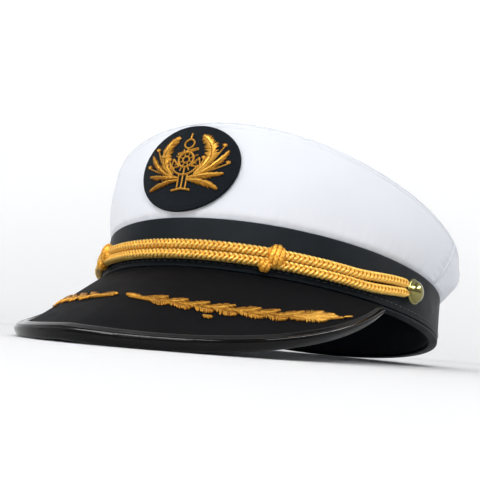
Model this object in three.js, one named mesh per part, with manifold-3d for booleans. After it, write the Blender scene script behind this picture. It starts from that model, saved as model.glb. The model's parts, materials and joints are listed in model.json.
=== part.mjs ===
// Captain hat: white cloth crown on a black band, with a curved peak, a doubled gold cord
// held by two side buttons, gold leaf sprays on the peak and an oval badge.
// Millimetres, +Z up. The front of the hat faces -Y, and it rests on its peak and on the
// back of its rim. Angles round the hat run from the front (0) towards +X.
import * as THREE from 'three';
import { mergeVertices } from 'three/addons/utils/BufferGeometryUtils.js';
import Module from 'manifold-3d';

const wasm = await Module();
wasm.setup();

// General
const CLEARANCE = 0.3;
const DEGREE = Math.PI / 180;

// Rim, band and sweatband
const RIM_LENGTH = 206;
const RIM_WIDTH = 174;
const BAND_HEIGHT = 23.5;
const BAND_WALL = 1.6;
const BINDING_HEIGHT = 1.5;
const BINDING_ROUND = 0.4;
const SWEATBAND_HEIGHT = 32;
const SWEATBAND_WALL = 1.1;
const SWEATBAND_LEAN = 1.2;

// Crown
const CROWN_CLOTH = 1.2;
const CROWN_HEM = 7;
const CROWN_FRONT_HEIGHT = 68;
const CROWN_SIDE_HEIGHT = 45;
const CROWN_BACK_HEIGHT = 46;
const CROWN_TOP_WIDTH = 190.5;
const CROWN_FRONT_REACH = 102.2;
const CROWN_BACK_REACH = 115.5;
const CROWN_DOME = 9;
const FRONT_BULGE = 1.2;
const SIDE_BULGE = 2.2;
const BACK_BULGE = 4.5;
const FOLD_DEPTH = 1.4;
const SEAM_ANGLE = 87 * DEGREE;

// Peak
const PEAK_ROOT_ANGLE = 62.5 * DEGREE;
const PEAK_ROOT_HEIGHT = 0.6;
const PEAK_DEPTH = 53;
const PEAK_DROP = 39;
const PEAK_SQUARENESS = 1.88;
const PEAK_STEEPNESS = 1.18;
const PEAK_END_SHARE = 0.955;
const LINING_END_SHARE = 0.9;
const BOARD_THICKNESS = 1.4;
const LINING_THICKNESS = 1;
const TRIM_WALL = 1;
const TRIM_TOP_WIDTH = 6.5;
const TRIM_UNDER_WIDTH = 9;
const TRIM_BEAD = 0.9;
const TRIM_BEAD_WIDTH = 3.4;

// Cord, slide knots and side buttons
const CORD_DIAMETER = 4;
const CORD_HEIGHT = 8.8;
const CORD_RISE_ANGLE = 50 * DEGREE;
const CORD_PARTING = 0.7;
const KNOT_ANGLE = 29 * DEGREE;
const KNOT_WIDTH = 7.5;
const KNOT_HEIGHT = 12.5;
const KNOT_DEPTH = 6.8;
const BUTTON_ANGLE = 71.5 * DEGREE;
const BUTTON_HEIGHT = 12.6;
const BUTTON_DIAMETER = 11.5;
const BUTTON_DOME = 3.6;
const BUTTON_EDGE = 0.7;
const BUTTON_SHANK_DIAMETER = 4;
const BUTTON_SHANK_LENGTH = 1.6;

// Badge and embroidery
const BADGE_WIDTH = 47;
const BADGE_HEIGHT = 41;
const BADGE_CENTRE_HEIGHT = 46;
const BADGE_THICKNESS = 1.6;
const EMBLEM_THICKNESS = 1.1;
const EMBLEM_SCALE = 0.9;
const EMBLEM_DROP = 0.6;
const SPRAY_THICKNESS = 1;

// Facets
const FRONT_COLUMNS = 26;
const BACK_COLUMNS = 26;
const PEAK_COLUMNS = 26;
const CORD_STEPS = 36;
const CORD_SIDES = 8;

// Soft folds of the crown: place is the share of the way from the front round to the
// back, width a share of that way, depth a share of the fold depth, plus is outwards.
const FOLDS = [
  { place: 0.27, width: 0.035, depth: -0.35, side: 1 },
  { place: 0.36, width: 0.03, depth: 0.3, side: 1 },
  { place: 0.31, width: 0.035, depth: -0.3, side: -1 },
  { place: 0.52, width: 0.03, depth: -0.8, side: 1 },
  { place: 0.59, width: 0.035, depth: 0.7, side: 1 },
  { place: 0.68, width: 0.03, depth: -0.6, side: 1 },
  { place: 0.53, width: 0.03, depth: -0.7, side: -1 },
  { place: 0.62, width: 0.035, depth: 0.8, side: -1 },
  { place: 0.72, width: 0.03, depth: -0.5, side: -1 },
  { place: 0.8, width: 0.04, depth: 0.5, side: 1 },
  { place: 0.86, width: 0.03, depth: -0.6, side: -1 },
  { place: 0.93, width: 0.03, depth: -0.5, side: 1 },
];

// Leaves of one peak spray: from and to are shares of the peak's half width, fromDepth and
// toDepth shares of its depth from the band to the edge, width a share of the depth.
const SPRAY_STEM = { from: 0.04, to: 0.76, fromDepth: 0.485, toDepth: 0.59, width: 0.03 };
const SPRAY_LEAVES = [
  { from: 0.1, to: 0.02, fromDepth: 0.5, toDepth: 0.475, width: 0.05 },
  { from: 0.1, to: 0.25, fromDepth: 0.5, toDepth: 0.46, width: 0.07 },
  { from: 0.12, to: 0.28, fromDepth: 0.51, toDepth: 0.572, width: 0.07 },
  { from: 0.24, to: 0.4, fromDepth: 0.525, toDepth: 0.47, width: 0.08 },
  { from: 0.27, to: 0.42, fromDepth: 0.53, toDepth: 0.598, width: 0.08 },
  { from: 0.39, to: 0.54, fromDepth: 0.545, toDepth: 0.48, width: 0.09 },
  { from: 0.41, to: 0.57, fromDepth: 0.55, toDepth: 0.628, width: 0.085 },
  { from: 0.53, to: 0.72, fromDepth: 0.565, toDepth: 0.495, width: 0.12 },
  { from: 0.56, to: 0.73, fromDepth: 0.575, toDepth: 0.63, width: 0.1 },
];

// Leaves of the badge's right half: places are shares of the badge's half width and half
// height from its centre, bendX and bendY the point the leaf bows through, width a share.
const BADGE_LEAVES = [
  { fromX: 0.24, fromY: -0.2, bendX: 0.8, bendY: 0.34, toX: 0.24, toY: 0.84, width: 0.2 },
  { fromX: 0.26, fromY: -0.22, bendX: 0.66, bendY: -0.06, toX: 0.86, toY: 0.42, width: 0.11 },
  { fromX: 0.1, fromY: -0.27, bendX: 0.45, bendY: -0.24, toX: 0.84, toY: -0.16, width: 0.1 },
  { fromX: 0.1, fromY: -0.33, bendX: 0.42, bendY: -0.33, toX: 0.78, toY: -0.54, width: 0.11 },
];
const BADGE_BUDS = [
  { fromX: 0.42, fromY: -0.08, toX: 0.74, toY: 0.52 },
  { fromX: 0.34, fromY: -0.18, toX: 0.88, toY: 0.08 },
  { fromX: 0.24, fromY: -0.14, toX: 0.38, toY: 0.2 },
];

// Anchor and wheel of the badge, in shares of the badge's half height.
const ANCHOR = {
  ringHeight: 0.62,
  ringRadius: 0.14,
  stockHeight: 0.44,
  stockHalf: 0.25,
  armRadius: 0.36,
  armHeight: 0.18,
  armTurn: 68 * DEGREE,
  flukeLength: 0.16,
  postSpread: 0.11,
  postFoot: -0.52,
  baseHalf: 0.24,
  line: 0.055,
};
const WHEEL = { height: 0.2, radius: 0.22, rim: 0.06, hub: 0.08, handles: 8, reach: 0.3, line: 0.04 };

// Knot that ties the badge's leaves to the posts, in shares of the badge's half height.
const TIE = { postHeight: -0.26, leafX: 0.37, leafHeight: -0.18 };

// Half width of a leaf along its length, as a share of its half width at the widest.
const LEAF = [
  { along: 0, half: 0.3 },
  { along: 0.35, half: 1 },
  { along: 0.75, half: 0.75 },
  { along: 1, half: 0.12 },
];
const LEAF_EDGE = 0.6;

// Trim across its outer wall, from its top edge round to its under edge. Inward is a share
// of the flange or roll that it names, height a share of the bead or the wall's outside.
const TRIM_SHELL = [
  { inward: 1, of: 'top', height: 1, to: 'outside' },
  { inward: 1, of: 'roll', height: 1, to: 'outside' },
  { inward: 0.65, of: 'roll', height: 1, to: 'bead' },
  { inward: 0.2, of: 'roll', height: 0.75, to: 'bead' },
  { inward: 0, of: 'roll', height: 0, to: 'bead' },
  { inward: 0.2, of: 'roll', height: -0.9, to: 'outside' },
  { inward: 0.6, of: 'roll', height: -1, to: 'outside' },
  { inward: 1, of: 'under', height: -1, to: 'outside' },
];
const TRIM_CORE = [
  { inward: 1, of: 'top', height: 1, to: 'inside' },
  { inward: 1, of: 'middle', height: 1, to: 'inside' },
  { inward: 1, of: 'roll', height: 1, to: 'inside' },
  { inward: 1, of: 'wall', height: 1, to: 'inside' },
  { inward: 1, of: 'wall', height: 0, to: 'inside' },
  { inward: 1, of: 'wall', height: -1, to: 'inside' },
  { inward: 1, of: 'roll', height: -1, to: 'inside' },
  { inward: 1, of: 'under', height: -1, to: 'inside' },
];

// Greatest shares of the peak's depth that the trim may take where the peak runs out.
const TRIM_LIMITS = { top: 0.7, under: 0.8, roll: 0.45 };

// Corner of the room that the cords take inside a knot, in shares of its depth and half height.
const PASSAGE_CORNER = [
  { depth: 0.6, rise: 1 },
  { depth: 0.87, rise: 0.87 },
  { depth: 1, rise: 0.55 },
];

const mix = (from, to, share) => from + (to - from) * share;
const smooth = (share) => {
  const t = THREE.MathUtils.clamp(share, 0, 1);
  return t * t * (3 - 2 * t);
};
const signedPower = (value, power) => Math.sign(value) * Math.abs(value) ** power;

// Point on an oval parallel to the rim, offset outwards, at a height above the rim.
function ringPoint(angle, offset, height) {
  const x = (RIM_WIDTH / 2 + offset) * Math.sin(angle);
  const y = -(RIM_LENGTH / 2 + offset) * Math.cos(angle);
  return new THREE.Vector3(x, y, height);
}

function ringNormal(angle) {
  return new THREE.Vector3(Math.sin(angle) / RIM_WIDTH, -Math.cos(angle) / RIM_LENGTH, 0).normalize();
}

function evenSteps(from, to, count) {
  return Array.from({ length: count + 1 }, (_, i) => mix(from, to, i / count));
}

const frontAngles = evenSteps(-SEAM_ANGLE, SEAM_ANGLE, FRONT_COLUMNS);
const backAngles = evenSteps(SEAM_ANGLE, 2 * Math.PI - SEAM_ANGLE, BACK_COLUMNS);
const ringAngles = [...frontAngles.slice(0, -1), ...backAngles.slice(0, -1)];

// Closed geometry from points and triangles, turned so that its faces point outwards.
function solidGeometry(points, triangles) {
  let volume = 0;
  const cross = new THREE.Vector3();
  for (let i = 0; i < triangles.length; i += 3) {
    const [a, b, c] = [points[triangles[i]], points[triangles[i + 1]], points[triangles[i + 2]]];
    volume += a.dot(cross.crossVectors(b, c));
  }
  const index = volume < 0 ? [...triangles].reverse() : triangles;
  const geometry = new THREE.BufferGeometry();
  geometry.setFromPoints(points);
  geometry.setIndex(index);
  geometry.computeVertexNormals();
  return geometry;
}

// Wall between two grids of points. Columns run along the wall and rows across it.
function wallGeometry(outer, inner, closed) {
  const columns = outer.length;
  const rows = outer[0].length;
  const points = [...outer.flat(), ...inner.flat()];
  const triangles = [];
  const at = (side, i, j) => (side * columns + (i % columns)) * rows + j;
  const quad = (a, b, c, d) => triangles.push(a, b, c, a, c, d);
  const last = rows - 1;
  for (let i = 0; i < (closed ? columns : columns - 1); i += 1) {
    for (let j = 0; j < last; j += 1) {
      quad(at(0, i, j), at(0, i + 1, j), at(0, i + 1, j + 1), at(0, i, j + 1));
      quad(at(1, i, j + 1), at(1, i + 1, j + 1), at(1, i + 1, j), at(1, i, j));
    }
    quad(at(1, i, 0), at(1, i + 1, 0), at(0, i + 1, 0), at(0, i, 0));
    quad(at(0, i, last), at(0, i + 1, last), at(1, i + 1, last), at(1, i, last));
  }
  const end = columns - 1;
  for (let j = 0; j < last && !closed; j += 1) {
    quad(at(0, 0, j), at(0, 0, j + 1), at(1, 0, j + 1), at(1, 0, j));
    quad(at(1, end, j), at(1, end, j + 1), at(0, end, j + 1), at(0, end, j));
  }
  return solidGeometry(points, triangles);
}

// Sheet that closes over a middle point: shape(side, angle, share) gives its two faces.
function sheetGeometry(angles, shares, shape) {
  const ringAt = (side, share) => angles.map((angle) => shape(side, angle, share));
  const rings = [1, 0].map((side) => shares.map((share) => ringAt(side, share)));
  const middles = [shape(1, 0, 0), shape(0, 0, 0)];
  const points = [...rings.flat(2), ...middles];
  const count = angles.length;
  const triangles = [];
  const at = (side, ring, i) => (side * shares.length + ring) * count + (i % count);
  const middle = (side) => 2 * shares.length * count + side;
  const last = shares.length - 1;
  for (let i = 0; i < count; i += 1) {
    triangles.push(middle(0), at(0, 0, i), at(0, 0, i + 1));
    triangles.push(middle(1), at(1, 0, i + 1), at(1, 0, i));
    for (let ring = 0; ring < last; ring += 1) {
      triangles.push(at(0, ring, i), at(0, ring + 1, i), at(0, ring + 1, i + 1));
      triangles.push(at(0, ring, i), at(0, ring + 1, i + 1), at(0, ring, i + 1));
      triangles.push(at(1, ring, i), at(1, ring + 1, i + 1), at(1, ring + 1, i));
      triangles.push(at(1, ring, i), at(1, ring, i + 1), at(1, ring + 1, i + 1));
    }
    triangles.push(at(0, last, i), at(1, last, i), at(1, last, i + 1));
    triangles.push(at(0, last, i), at(1, last, i + 1), at(0, last, i + 1));
  }
  return solidGeometry(points, triangles);
}

// Joining and cutting of closed geometries.
function toSolid(geometry) {
  const bare = geometry.clone();
  bare.deleteAttribute('normal');
  bare.deleteAttribute('uv');
  const merged = mergeVertices(bare, 1e-4);
  const vertProperties = new Float32Array(merged.attributes.position.array);
  const triVerts = new Uint32Array(merged.index.array);
  return new wasm.Manifold(new wasm.Mesh({ numProp: 3, vertProperties, triVerts }));
}

function fromSolid(solid) {
  const mesh = solid.getMesh();
  const geometry = new THREE.BufferGeometry();
  geometry.setAttribute('position', new THREE.BufferAttribute(new Float32Array(mesh.vertProperties), 3));
  geometry.setIndex(new THREE.BufferAttribute(new Uint32Array(mesh.triVerts), 1));
  geometry.computeVertexNormals();
  return geometry;
}

// Pieces made flat are joined there, and the whole is then laid on a surface by place(x, y, z).
function laid(geometries, place) {
  const mesh = geometries.map(toSolid).reduce((sum, next) => sum.add(next)).getMesh();
  const points = [];
  for (let i = 0; i < mesh.vertProperties.length; i += 3) {
    points.push(place(...mesh.vertProperties.slice(i, i + 3)));
  }
  return solidGeometry(points, [...mesh.triVerts]);
}

function ringWall(sections) {
  const side = (key) => ringAngles.map((angle) => (
    sections.map((section) => ringPoint(angle, -section[key], section.height))
  ));
  return wallGeometry(side('outside'), side('inside'), true);
}

// Layers of the rim, as insets from the rim's outline.
const hemInset = BAND_WALL + CLEARANCE;
const sweatbandInset = hemInset + CROWN_CLOTH + CLEARANCE;
const rimInset = sweatbandInset + SWEATBAND_WALL;
const bandFoot = BINDING_HEIGHT + CLEARANCE;

function bandGeometry() {
  return ringWall([
    { outside: 0, inside: BAND_WALL, height: bandFoot },
    { outside: 0, inside: BAND_WALL, height: BAND_HEIGHT },
  ]);
}

function bindingGeometry() {
  const edge = (outside, height) => ({ outside, inside: rimInset - outside, height });
  return ringWall([
    edge(BINDING_ROUND, 0),
    edge(0, BINDING_ROUND),
    edge(0, BINDING_HEIGHT),
  ]);
}

function sweatbandGeometry() {
  const section = (lean, height) => ({
    outside: sweatbandInset + lean,
    inside: sweatbandInset + lean + SWEATBAND_WALL,
    height,
  });
  return ringWall([
    section(0, bandFoot),
    section(0, BAND_HEIGHT),
    section(SWEATBAND_LEAN, SWEATBAND_HEIGHT),
  ]);
}

// Height of the crown's top edge over a place from front to back.
function edgeHeight(y) {
  const reach = y < 0 ? CROWN_FRONT_REACH : CROWN_BACK_REACH;
  const forward = -y / reach;
  const slope = (CROWN_FRONT_HEIGHT - CROWN_BACK_HEIGHT) / 2;
  const bow = (CROWN_FRONT_HEIGHT + CROWN_BACK_HEIGHT) / 2 - CROWN_SIDE_HEIGHT;
  return CROWN_SIDE_HEIGHT + slope * forward + bow * forward * forward;
}

function crownReach(angle) {
  return Math.cos(angle) > 0 ? CROWN_FRONT_REACH : CROWN_BACK_REACH;
}

// How far the cloth stands out between the band and the top edge.
function crownBulge(angle) {
  const forward = Math.cos(angle);
  const end = forward > 0 ? FRONT_BULGE : BACK_BULGE;
  const turn = Math.atan2(Math.sin(angle), forward) / Math.PI;
  const folds = FOLDS.map((fold) => {
    const away = (turn - fold.place * fold.side) / fold.width;
    return FOLD_DEPTH * fold.depth * Math.exp(-away * away);
  });
  return mix(SIDE_BULGE, end, forward * forward) + folds.reduce((sum, fold) => sum + fold, 0);
}

// Point on the crown's side wall: share 0 is at the band and 1 at the top edge.
function crownPoint(angle, share, inset) {
  const grow = crownBulge(angle) * Math.sin(Math.PI * share) - inset;
  const x = (mix(RIM_WIDTH, CROWN_TOP_WIDTH, share) / 2 + grow) * Math.sin(angle);
  const y = -(mix(RIM_LENGTH / 2, crownReach(angle), share) + grow) * Math.cos(angle);
  const topY = -(crownReach(angle) - inset) * Math.cos(angle);
  const foot = BAND_HEIGHT + CLEARANCE;
  const z = mix(foot, edgeHeight(topY) - CLEARANCE, share) + (inset > 0 ? inset : 0) * (1 - share);
  return new THREE.Vector3(x, y, z);
}

const crownShares = evenSteps(0, 1, 4);

function crownWall(angles) {
  const hemTop = BAND_HEIGHT + CLEARANCE;
  const column = (angle, wall) => [
    ringPoint(angle, -hemInset - wall, BAND_HEIGHT - CROWN_HEM),
    ringPoint(angle, -hemInset - wall, hemTop + wall),
    ...crownShares.map((share) => crownPoint(angle, share, wall)),
  ];
  const grid = (wall) => angles.map((angle) => column(angle, wall));
  return wallGeometry(grid(0), grid(CROWN_CLOTH), false);
}

const seamGap = CLEARANCE / 2 / (RIM_WIDTH / 2);

function openEnds(angles) {
  const inner = angles.slice(1, -1);
  return [angles[0] + seamGap, ...inner, angles[angles.length - 1] - seamGap];
}

function crownTopGeometry() {
  return sheetGeometry(ringAngles, [0.4, 0.75, 1], (side, angle, share) => {
    const x = (share * CROWN_TOP_WIDTH * Math.sin(angle)) / 2;
    const y = -share * crownReach(angle) * Math.cos(angle);
    const dome = CROWN_DOME * (1 - share * share);
    return new THREE.Vector3(x, y, edgeHeight(y) + dome + side * CROWN_CLOTH);
  });
}

// Peak: straight lines run from the root on the band (reach 0) to the outer edge (reach 1).
const peakRoot = ringPoint(PEAK_ROOT_ANGLE, 0, PEAK_ROOT_HEIGHT);

function peakEdge(across) {
  const turn = (across * Math.PI) / 2;
  const power = 2 / PEAK_SQUARENESS;
  const x = peakRoot.x * signedPower(Math.sin(turn), power);
  const y = mix(peakRoot.y, -RIM_LENGTH / 2 - PEAK_DEPTH, Math.abs(Math.cos(turn)) ** power);
  const inward = 1 - Math.abs(x) / peakRoot.x;
  const fall = (1 + PEAK_STEEPNESS) * Math.sqrt(inward) - PEAK_STEEPNESS * inward;
  return new THREE.Vector3(x, y, PEAK_ROOT_HEIGHT - PEAK_DROP * fall);
}

function peakRuling(across) {
  const root = ringPoint(across * PEAK_ROOT_ANGLE, 0, PEAK_ROOT_HEIGHT);
  const edge = peakEdge(across);
  return { root, edge, length: root.distanceTo(edge) };
}

function peakNormal(across, reach) {
  const step = 1e-3;
  const place = (a) => {
    const { root, edge } = peakRuling(a);
    return root.lerp(edge, reach);
  };
  const sideways = place(across + step).sub(place(across - step));
  const { root, edge } = peakRuling(across);
  return sideways.cross(root.sub(edge)).normalize();
}

// Point of the peak at a height above its middle surface.
function peakPoint(across, reach, height) {
  const { root, edge } = peakRuling(across);
  return root.lerp(edge, reach).addScaledVector(peakNormal(across, reach), height);
}

const boardTop = BOARD_THICKNESS / 2;
const COLUMN_GATHER = 81 * DEGREE;

// Columns gather towards the peak's two ends, where its edge turns fastest.
const peakAcross = (share) => evenSteps(-1, 1, PEAK_COLUMNS).map((across) => (
  (share * Math.sin(across * COLUMN_GATHER)) / Math.sin(COLUMN_GATHER)
));

const topFlange = (length) => Math.min(TRIM_TOP_WIDTH, TRIM_LIMITS.top * length);
const underFlange = (length) => Math.min(TRIM_UNDER_WIDTH, TRIM_LIMITS.under * length);
const trimRoll = (length) => Math.min(TRIM_BEAD_WIDTH, TRIM_LIMITS.roll * length);

// Everything nearer to the band than the clearance is cut off the peak's pieces.
function bandCutter() {
  const low = -PEAK_DROP - PEAK_DEPTH;
  const disc = (height) => ringAngles.map((angle) => ringPoint(angle, CLEARANCE, height));
  const points = [...disc(low), ...disc(BAND_HEIGHT), new THREE.Vector3(0, 0, low)];
  points.push(new THREE.Vector3(0, 0, BAND_HEIGHT));
  const count = ringAngles.length;
  const triangles = [];
  for (let i = 0; i < count; i += 1) {
    const next = (i + 1) % count;
    triangles.push(i, next, count + next, i, count + next, count + i);
    triangles.push(2 * count, next, i, 2 * count + 1, count + i, count + next);
  }
  return toSolid(solidGeometry(points, triangles));
}

const cutter = bandCutter();

function clearOfBand(geometry) {
  return fromSolid(toSolid(geometry).subtract(cutter));
}

// Layer of the peak: gap(length) is how far from the outer edge the layer stops.
function peakLayer(endShare, low, high, gap) {
  const reaches = (length) => [0, 0.5, 1].map((share) => share * (1 - gap(length) / length));
  const grid = (height) => peakAcross(endShare).map((across) => {
    const { length } = peakRuling(across);
    return reaches(length).map((reach) => peakPoint(across, reach, height));
  });
  return clearOfBand(wallGeometry(grid(high), grid(low), false));
}

function boardGeometry() {
  return peakLayer(PEAK_END_SHARE, -boardTop, boardTop, () => TRIM_WALL + CLEARANCE);
}

const liningTop = -boardTop - CLEARANCE;

function liningGeometry() {
  const gap = (length) => underFlange(length) + CLEARANCE;
  return peakLayer(LINING_END_SHARE, liningTop - LINING_THICKNESS, liningTop, gap);
}

// Rolled trim round the peak's edge, open towards the board.
function trimGeometry() {
  const inside = boardTop + CLEARANCE;
  const outside = inside + TRIM_WALL;
  const heights = { inside, outside, bead: outside + TRIM_BEAD };
  const columns = peakAcross(PEAK_END_SHARE).map((across) => {
    const { length } = peakRuling(across);
    const top = topFlange(length);
    const roll = trimRoll(length);
    const widths = { top, roll, under: underFlange(length), middle: (top + roll) / 2, wall: TRIM_WALL };
    const place = (row) => {
      const inward = row.inward * widths[row.of];
      return peakPoint(across, 1 - inward / length, row.height * heights[row.to]);
    };
    return { shell: TRIM_SHELL.map(place), core: TRIM_CORE.map(place) };
  });
  const side = (key) => columns.map((column) => column[key]);
  return clearOfBand(wallGeometry(side('shell'), side('core'), false));
}

// Flat leaf with a raised midrib along a bowed line.
function leafGeometry(from, bend, to, width, relief) {
  const line = new THREE.QuadraticBezierCurve(from, bend, to);
  const point = (row, side, height) => {
    const at = line.getPoint(row.along);
    const along = line.getTangent(row.along);
    const half = (side * row.half * width) / 2;
    return new THREE.Vector3(at.x - along.y * half, at.y + along.x * half, height);
  };
  const grid = (height, ribHeight) => LEAF.map((row) => [
    point(row, -1, height),
    point(row, 0, ribHeight),
    point(row, 1, height),
  ]);
  return wallGeometry(grid(LEAF_EDGE * relief, relief), grid(0, 0), false);
}

function raisedShape(shape, relief, segments) {
  return new THREE.ExtrudeGeometry(shape, {
    depth: relief,
    bevelEnabled: false,
    curveSegments: segments,
  });
}

function barShape(from, to, width) {
  const side = new THREE.Vector2(-(to.y - from.y), to.x - from.x).normalize().multiplyScalar(width / 2);
  return new THREE.Shape([
    from.clone().add(side),
    from.clone().sub(side),
    to.clone().sub(side),
    to.clone().add(side),
  ]);
}

function ringShape(centre, outer, inner) {
  const shape = new THREE.Shape().absarc(centre.x, centre.y, outer, 0, 2 * Math.PI, false);
  shape.holes.push(new THREE.Path().absarc(centre.x, centre.y, inner, 0, 2 * Math.PI, true));
  return shape;
}

const SPRAY_REACH = 0.55;
const STEM_PARTS = 4;
const STEM_OVERLAP = 0.02;

// Length of the peak's right half, measured along its surface at the sprays.
function peakHalfSpan() {
  const points = evenSteps(0, 1, 20).map((across) => peakPoint(across, SPRAY_REACH, 0));
  return points.slice(1).reduce((sum, point, i) => sum + point.distanceTo(points[i]), 0);
}

// Leaf spray on the peak, on the side of +X for side 1.
function sprayGeometry(side) {
  const halfSpan = peakHalfSpan();
  const depth = peakRuling(0).length;
  const floor = boardTop + CLEARANCE;
  const place = (x, y, height) => peakPoint((side * x) / halfSpan, y / depth, floor + height);
  const leaf = (row) => {
    const from = new THREE.Vector2(row.from * halfSpan, row.fromDepth * depth);
    const to = new THREE.Vector2(row.to * halfSpan, row.toDepth * depth);
    const bend = from.clone().lerp(to, 0.5);
    return leafGeometry(from, bend, to, row.width * depth, SPRAY_THICKNESS);
  };
  const stemPart = (start, end) => ({
    from: mix(SPRAY_STEM.from, SPRAY_STEM.to, start),
    to: mix(SPRAY_STEM.from, SPRAY_STEM.to, end),
    fromDepth: mix(SPRAY_STEM.fromDepth, SPRAY_STEM.toDepth, start),
    toDepth: mix(SPRAY_STEM.fromDepth, SPRAY_STEM.toDepth, end),
    width: SPRAY_STEM.width,
  });
  const starts = evenSteps(0, 1, STEM_PARTS).slice(0, -1);
  const stem = starts.map((start) => leaf(stemPart(start, start + 1 / STEM_PARTS + STEM_OVERLAP)));
  return laid([...stem, ...SPRAY_LEAVES.map(leaf)], place);
}

// Place on the crown's front: x along the cloth, height above the rim, out from the cloth.
function frontPlace(x, height, out) {
  const angle = x / (RIM_WIDTH / 2);
  const foot = crownPoint(angle, 0, 0).z;
  const top = crownPoint(angle, 1, 0).z;
  const share = (height - foot) / (top - foot);
  const step = 1e-3;
  const sideways = crownPoint(angle + step, share, 0).sub(crownPoint(angle - step, share, 0));
  const upwards = crownPoint(angle, share + step, 0).sub(crownPoint(angle, share - step, 0));
  const normal = sideways.cross(upwards).normalize();
  return crownPoint(angle, share, 0).addScaledVector(normal, out);
}

const PATCH_EDGE = 0.6;

function badgeGeometry() {
  const angles = evenSteps(0, 2 * Math.PI, 24).slice(0, -1);
  return sheetGeometry(angles, [0.5, 0.93, 1], (side, angle, share) => {
    const x = (share * BADGE_WIDTH * Math.cos(angle)) / 2;
    const y = (share * BADGE_HEIGHT * Math.sin(angle)) / 2;
    const rounding = share === 1 ? PATCH_EDGE : 1;
    return frontPlace(x, BADGE_CENTRE_HEIGHT + y, CLEARANCE + side * rounding * BADGE_THICKNESS);
  });
}

const halfBadgeWidth = BADGE_WIDTH / 2;
const halfBadgeHeight = BADGE_HEIGHT / 2;
const threadLine = ANCHOR.line * halfBadgeHeight;
const badgeSpot = (x, y) => new THREE.Vector2(x * halfBadgeHeight, y * halfBadgeHeight);
const badgeRaise = (shape, segments = 6) => raisedShape(shape, EMBLEM_THICKNESS, segments);

function badgeBar(x0, y0, x1, y1, width = threadLine) {
  return badgeRaise(barShape(badgeSpot(x0, y0), badgeSpot(x1, y1), width));
}

function badgeRing(height, outer, inner) {
  return badgeRaise(ringShape(badgeSpot(0, height), outer * halfBadgeHeight, inner * halfBadgeHeight));
}

function anchorParts() {
  const { line, ringHeight, ringRadius, stockHeight, stockHalf, armTurn, armHeight, postFoot } = ANCHOR;
  const ringTop = ringHeight + ringRadius;
  const shankFoot = WHEEL.height + WHEEL.radius - WHEEL.rim;
  const armFoot = armHeight - ANCHOR.armRadius;
  const armOuter = ANCHOR.armRadius * halfBadgeHeight;
  const centre = badgeSpot(0, armHeight);
  const down = -Math.PI / 2;
  const arms = new THREE.Shape();
  arms.absarc(centre.x, centre.y, armOuter, down - armTurn, down + armTurn, false);
  arms.absarc(centre.x, centre.y, armOuter - threadLine, down + armTurn, down - armTurn, true);
  const fluke = (side) => {
    const size = ANCHOR.flukeLength * halfBadgeHeight;
    const tip = centre.clone().add(new THREE.Vector2(0, -armOuter)).rotateAround(centre, side * armTurn);
    const corners = [[0.3, -0.3], [-0.1, 1], [-1, -0.2]];
    return badgeRaise(new THREE.Shape(corners.map(([x, y]) => (
      new THREE.Vector2(tip.x + side * x * size, tip.y + y * size)
    ))));
  };
  return [
    badgeRing(ringHeight, ringRadius, ringRadius - line),
    badgeBar(0, ringTop - line, 0, ringTop + ringRadius),
    badgeBar(0, shankFoot, 0, ringHeight - ringRadius + line),
    badgeBar(-stockHalf, stockHeight, stockHalf, stockHeight, 1.5 * threadLine),
    badgeRaise(arms),
    fluke(-1),
    fluke(1),
    badgeBar(0, WHEEL.height - WHEEL.radius + WHEEL.rim, 0, armFoot + line / 2),
    ...[-1, 0, 1].map((side) => {
      const x = side * ANCHOR.postSpread;
      return badgeBar(x, armFoot + line / 3, x, postFoot);
    }),
    badgeBar(-ANCHOR.baseHalf, postFoot, ANCHOR.baseHalf, postFoot, 1.3 * threadLine),
  ];
}

function wheelParts() {
  const { height, radius, rim, hub, handles, reach } = WHEEL;
  const width = WHEEL.line * halfBadgeHeight;
  const turns = evenSteps(0, 2 * Math.PI, handles).slice(1).map((turn) => turn - Math.PI / handles);
  const spoke = (turn) => {
    const [c, s] = [Math.cos(turn), Math.sin(turn)];
    const near = 0.8 * hub;
    return badgeBar(near * c, height + near * s, reach * c, height + reach * s, width);
  };
  return [badgeRing(height, radius, radius - rim), badgeRing(height, hub, hub / 2), ...turns.map(spoke)];
}

function plumeParts(side) {
  const spot = (row, key) => (
    new THREE.Vector2(side * row[`${key}X`] * halfBadgeWidth, row[`${key}Y`] * halfBadgeHeight)
  );
  const leaf = (row) => {
    const [from, bend, to] = ['from', 'bend', 'to'].map((key) => spot(row, key));
    return leafGeometry(from, bend, to, row.width * halfBadgeWidth, EMBLEM_THICKNESS);
  };
  const bud = (row) => {
    const end = spot(row, 'to');
    return [
      badgeRaise(barShape(spot(row, 'from'), end, 0.8 * threadLine)),
      badgeRaise(new THREE.Shape().absarc(end.x, end.y, 1.4 * threadLine, 0, 2 * Math.PI, false), 3),
    ];
  };
  const tieFrom = badgeSpot(side * ANCHOR.postSpread, TIE.postHeight);
  const tieTo = badgeSpot(side * TIE.leafX, TIE.leafHeight);
  const tie = badgeRaise(barShape(tieFrom, tieTo, 2 * threadLine));
  return [...BADGE_LEAVES.map(leaf), ...BADGE_BUDS.flatMap(bud), tie];
}

function emblemGeometry() {
  const floor = 2 * CLEARANCE + BADGE_THICKNESS;
  const middle = BADGE_CENTRE_HEIGHT - EMBLEM_DROP;
  const place = (x, y, height) => (
    frontPlace(EMBLEM_SCALE * x, middle + EMBLEM_SCALE * y, floor + height)
  );
  return laid([...anchorParts(), ...wheelParts(), ...plumeParts(-1), ...plumeParts(1)], place);
}

// Cord pair: level 1 is the upper cord and -1 the lower one.
const cordOut = CORD_DIAMETER / 2 + CLEARANCE;
const buttonRadius = BUTTON_DIAMETER / 2;
const cordEndAngle = BUTTON_ANGLE - (buttonRadius + CLEARANCE) / (RIM_LENGTH / 2);

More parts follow.
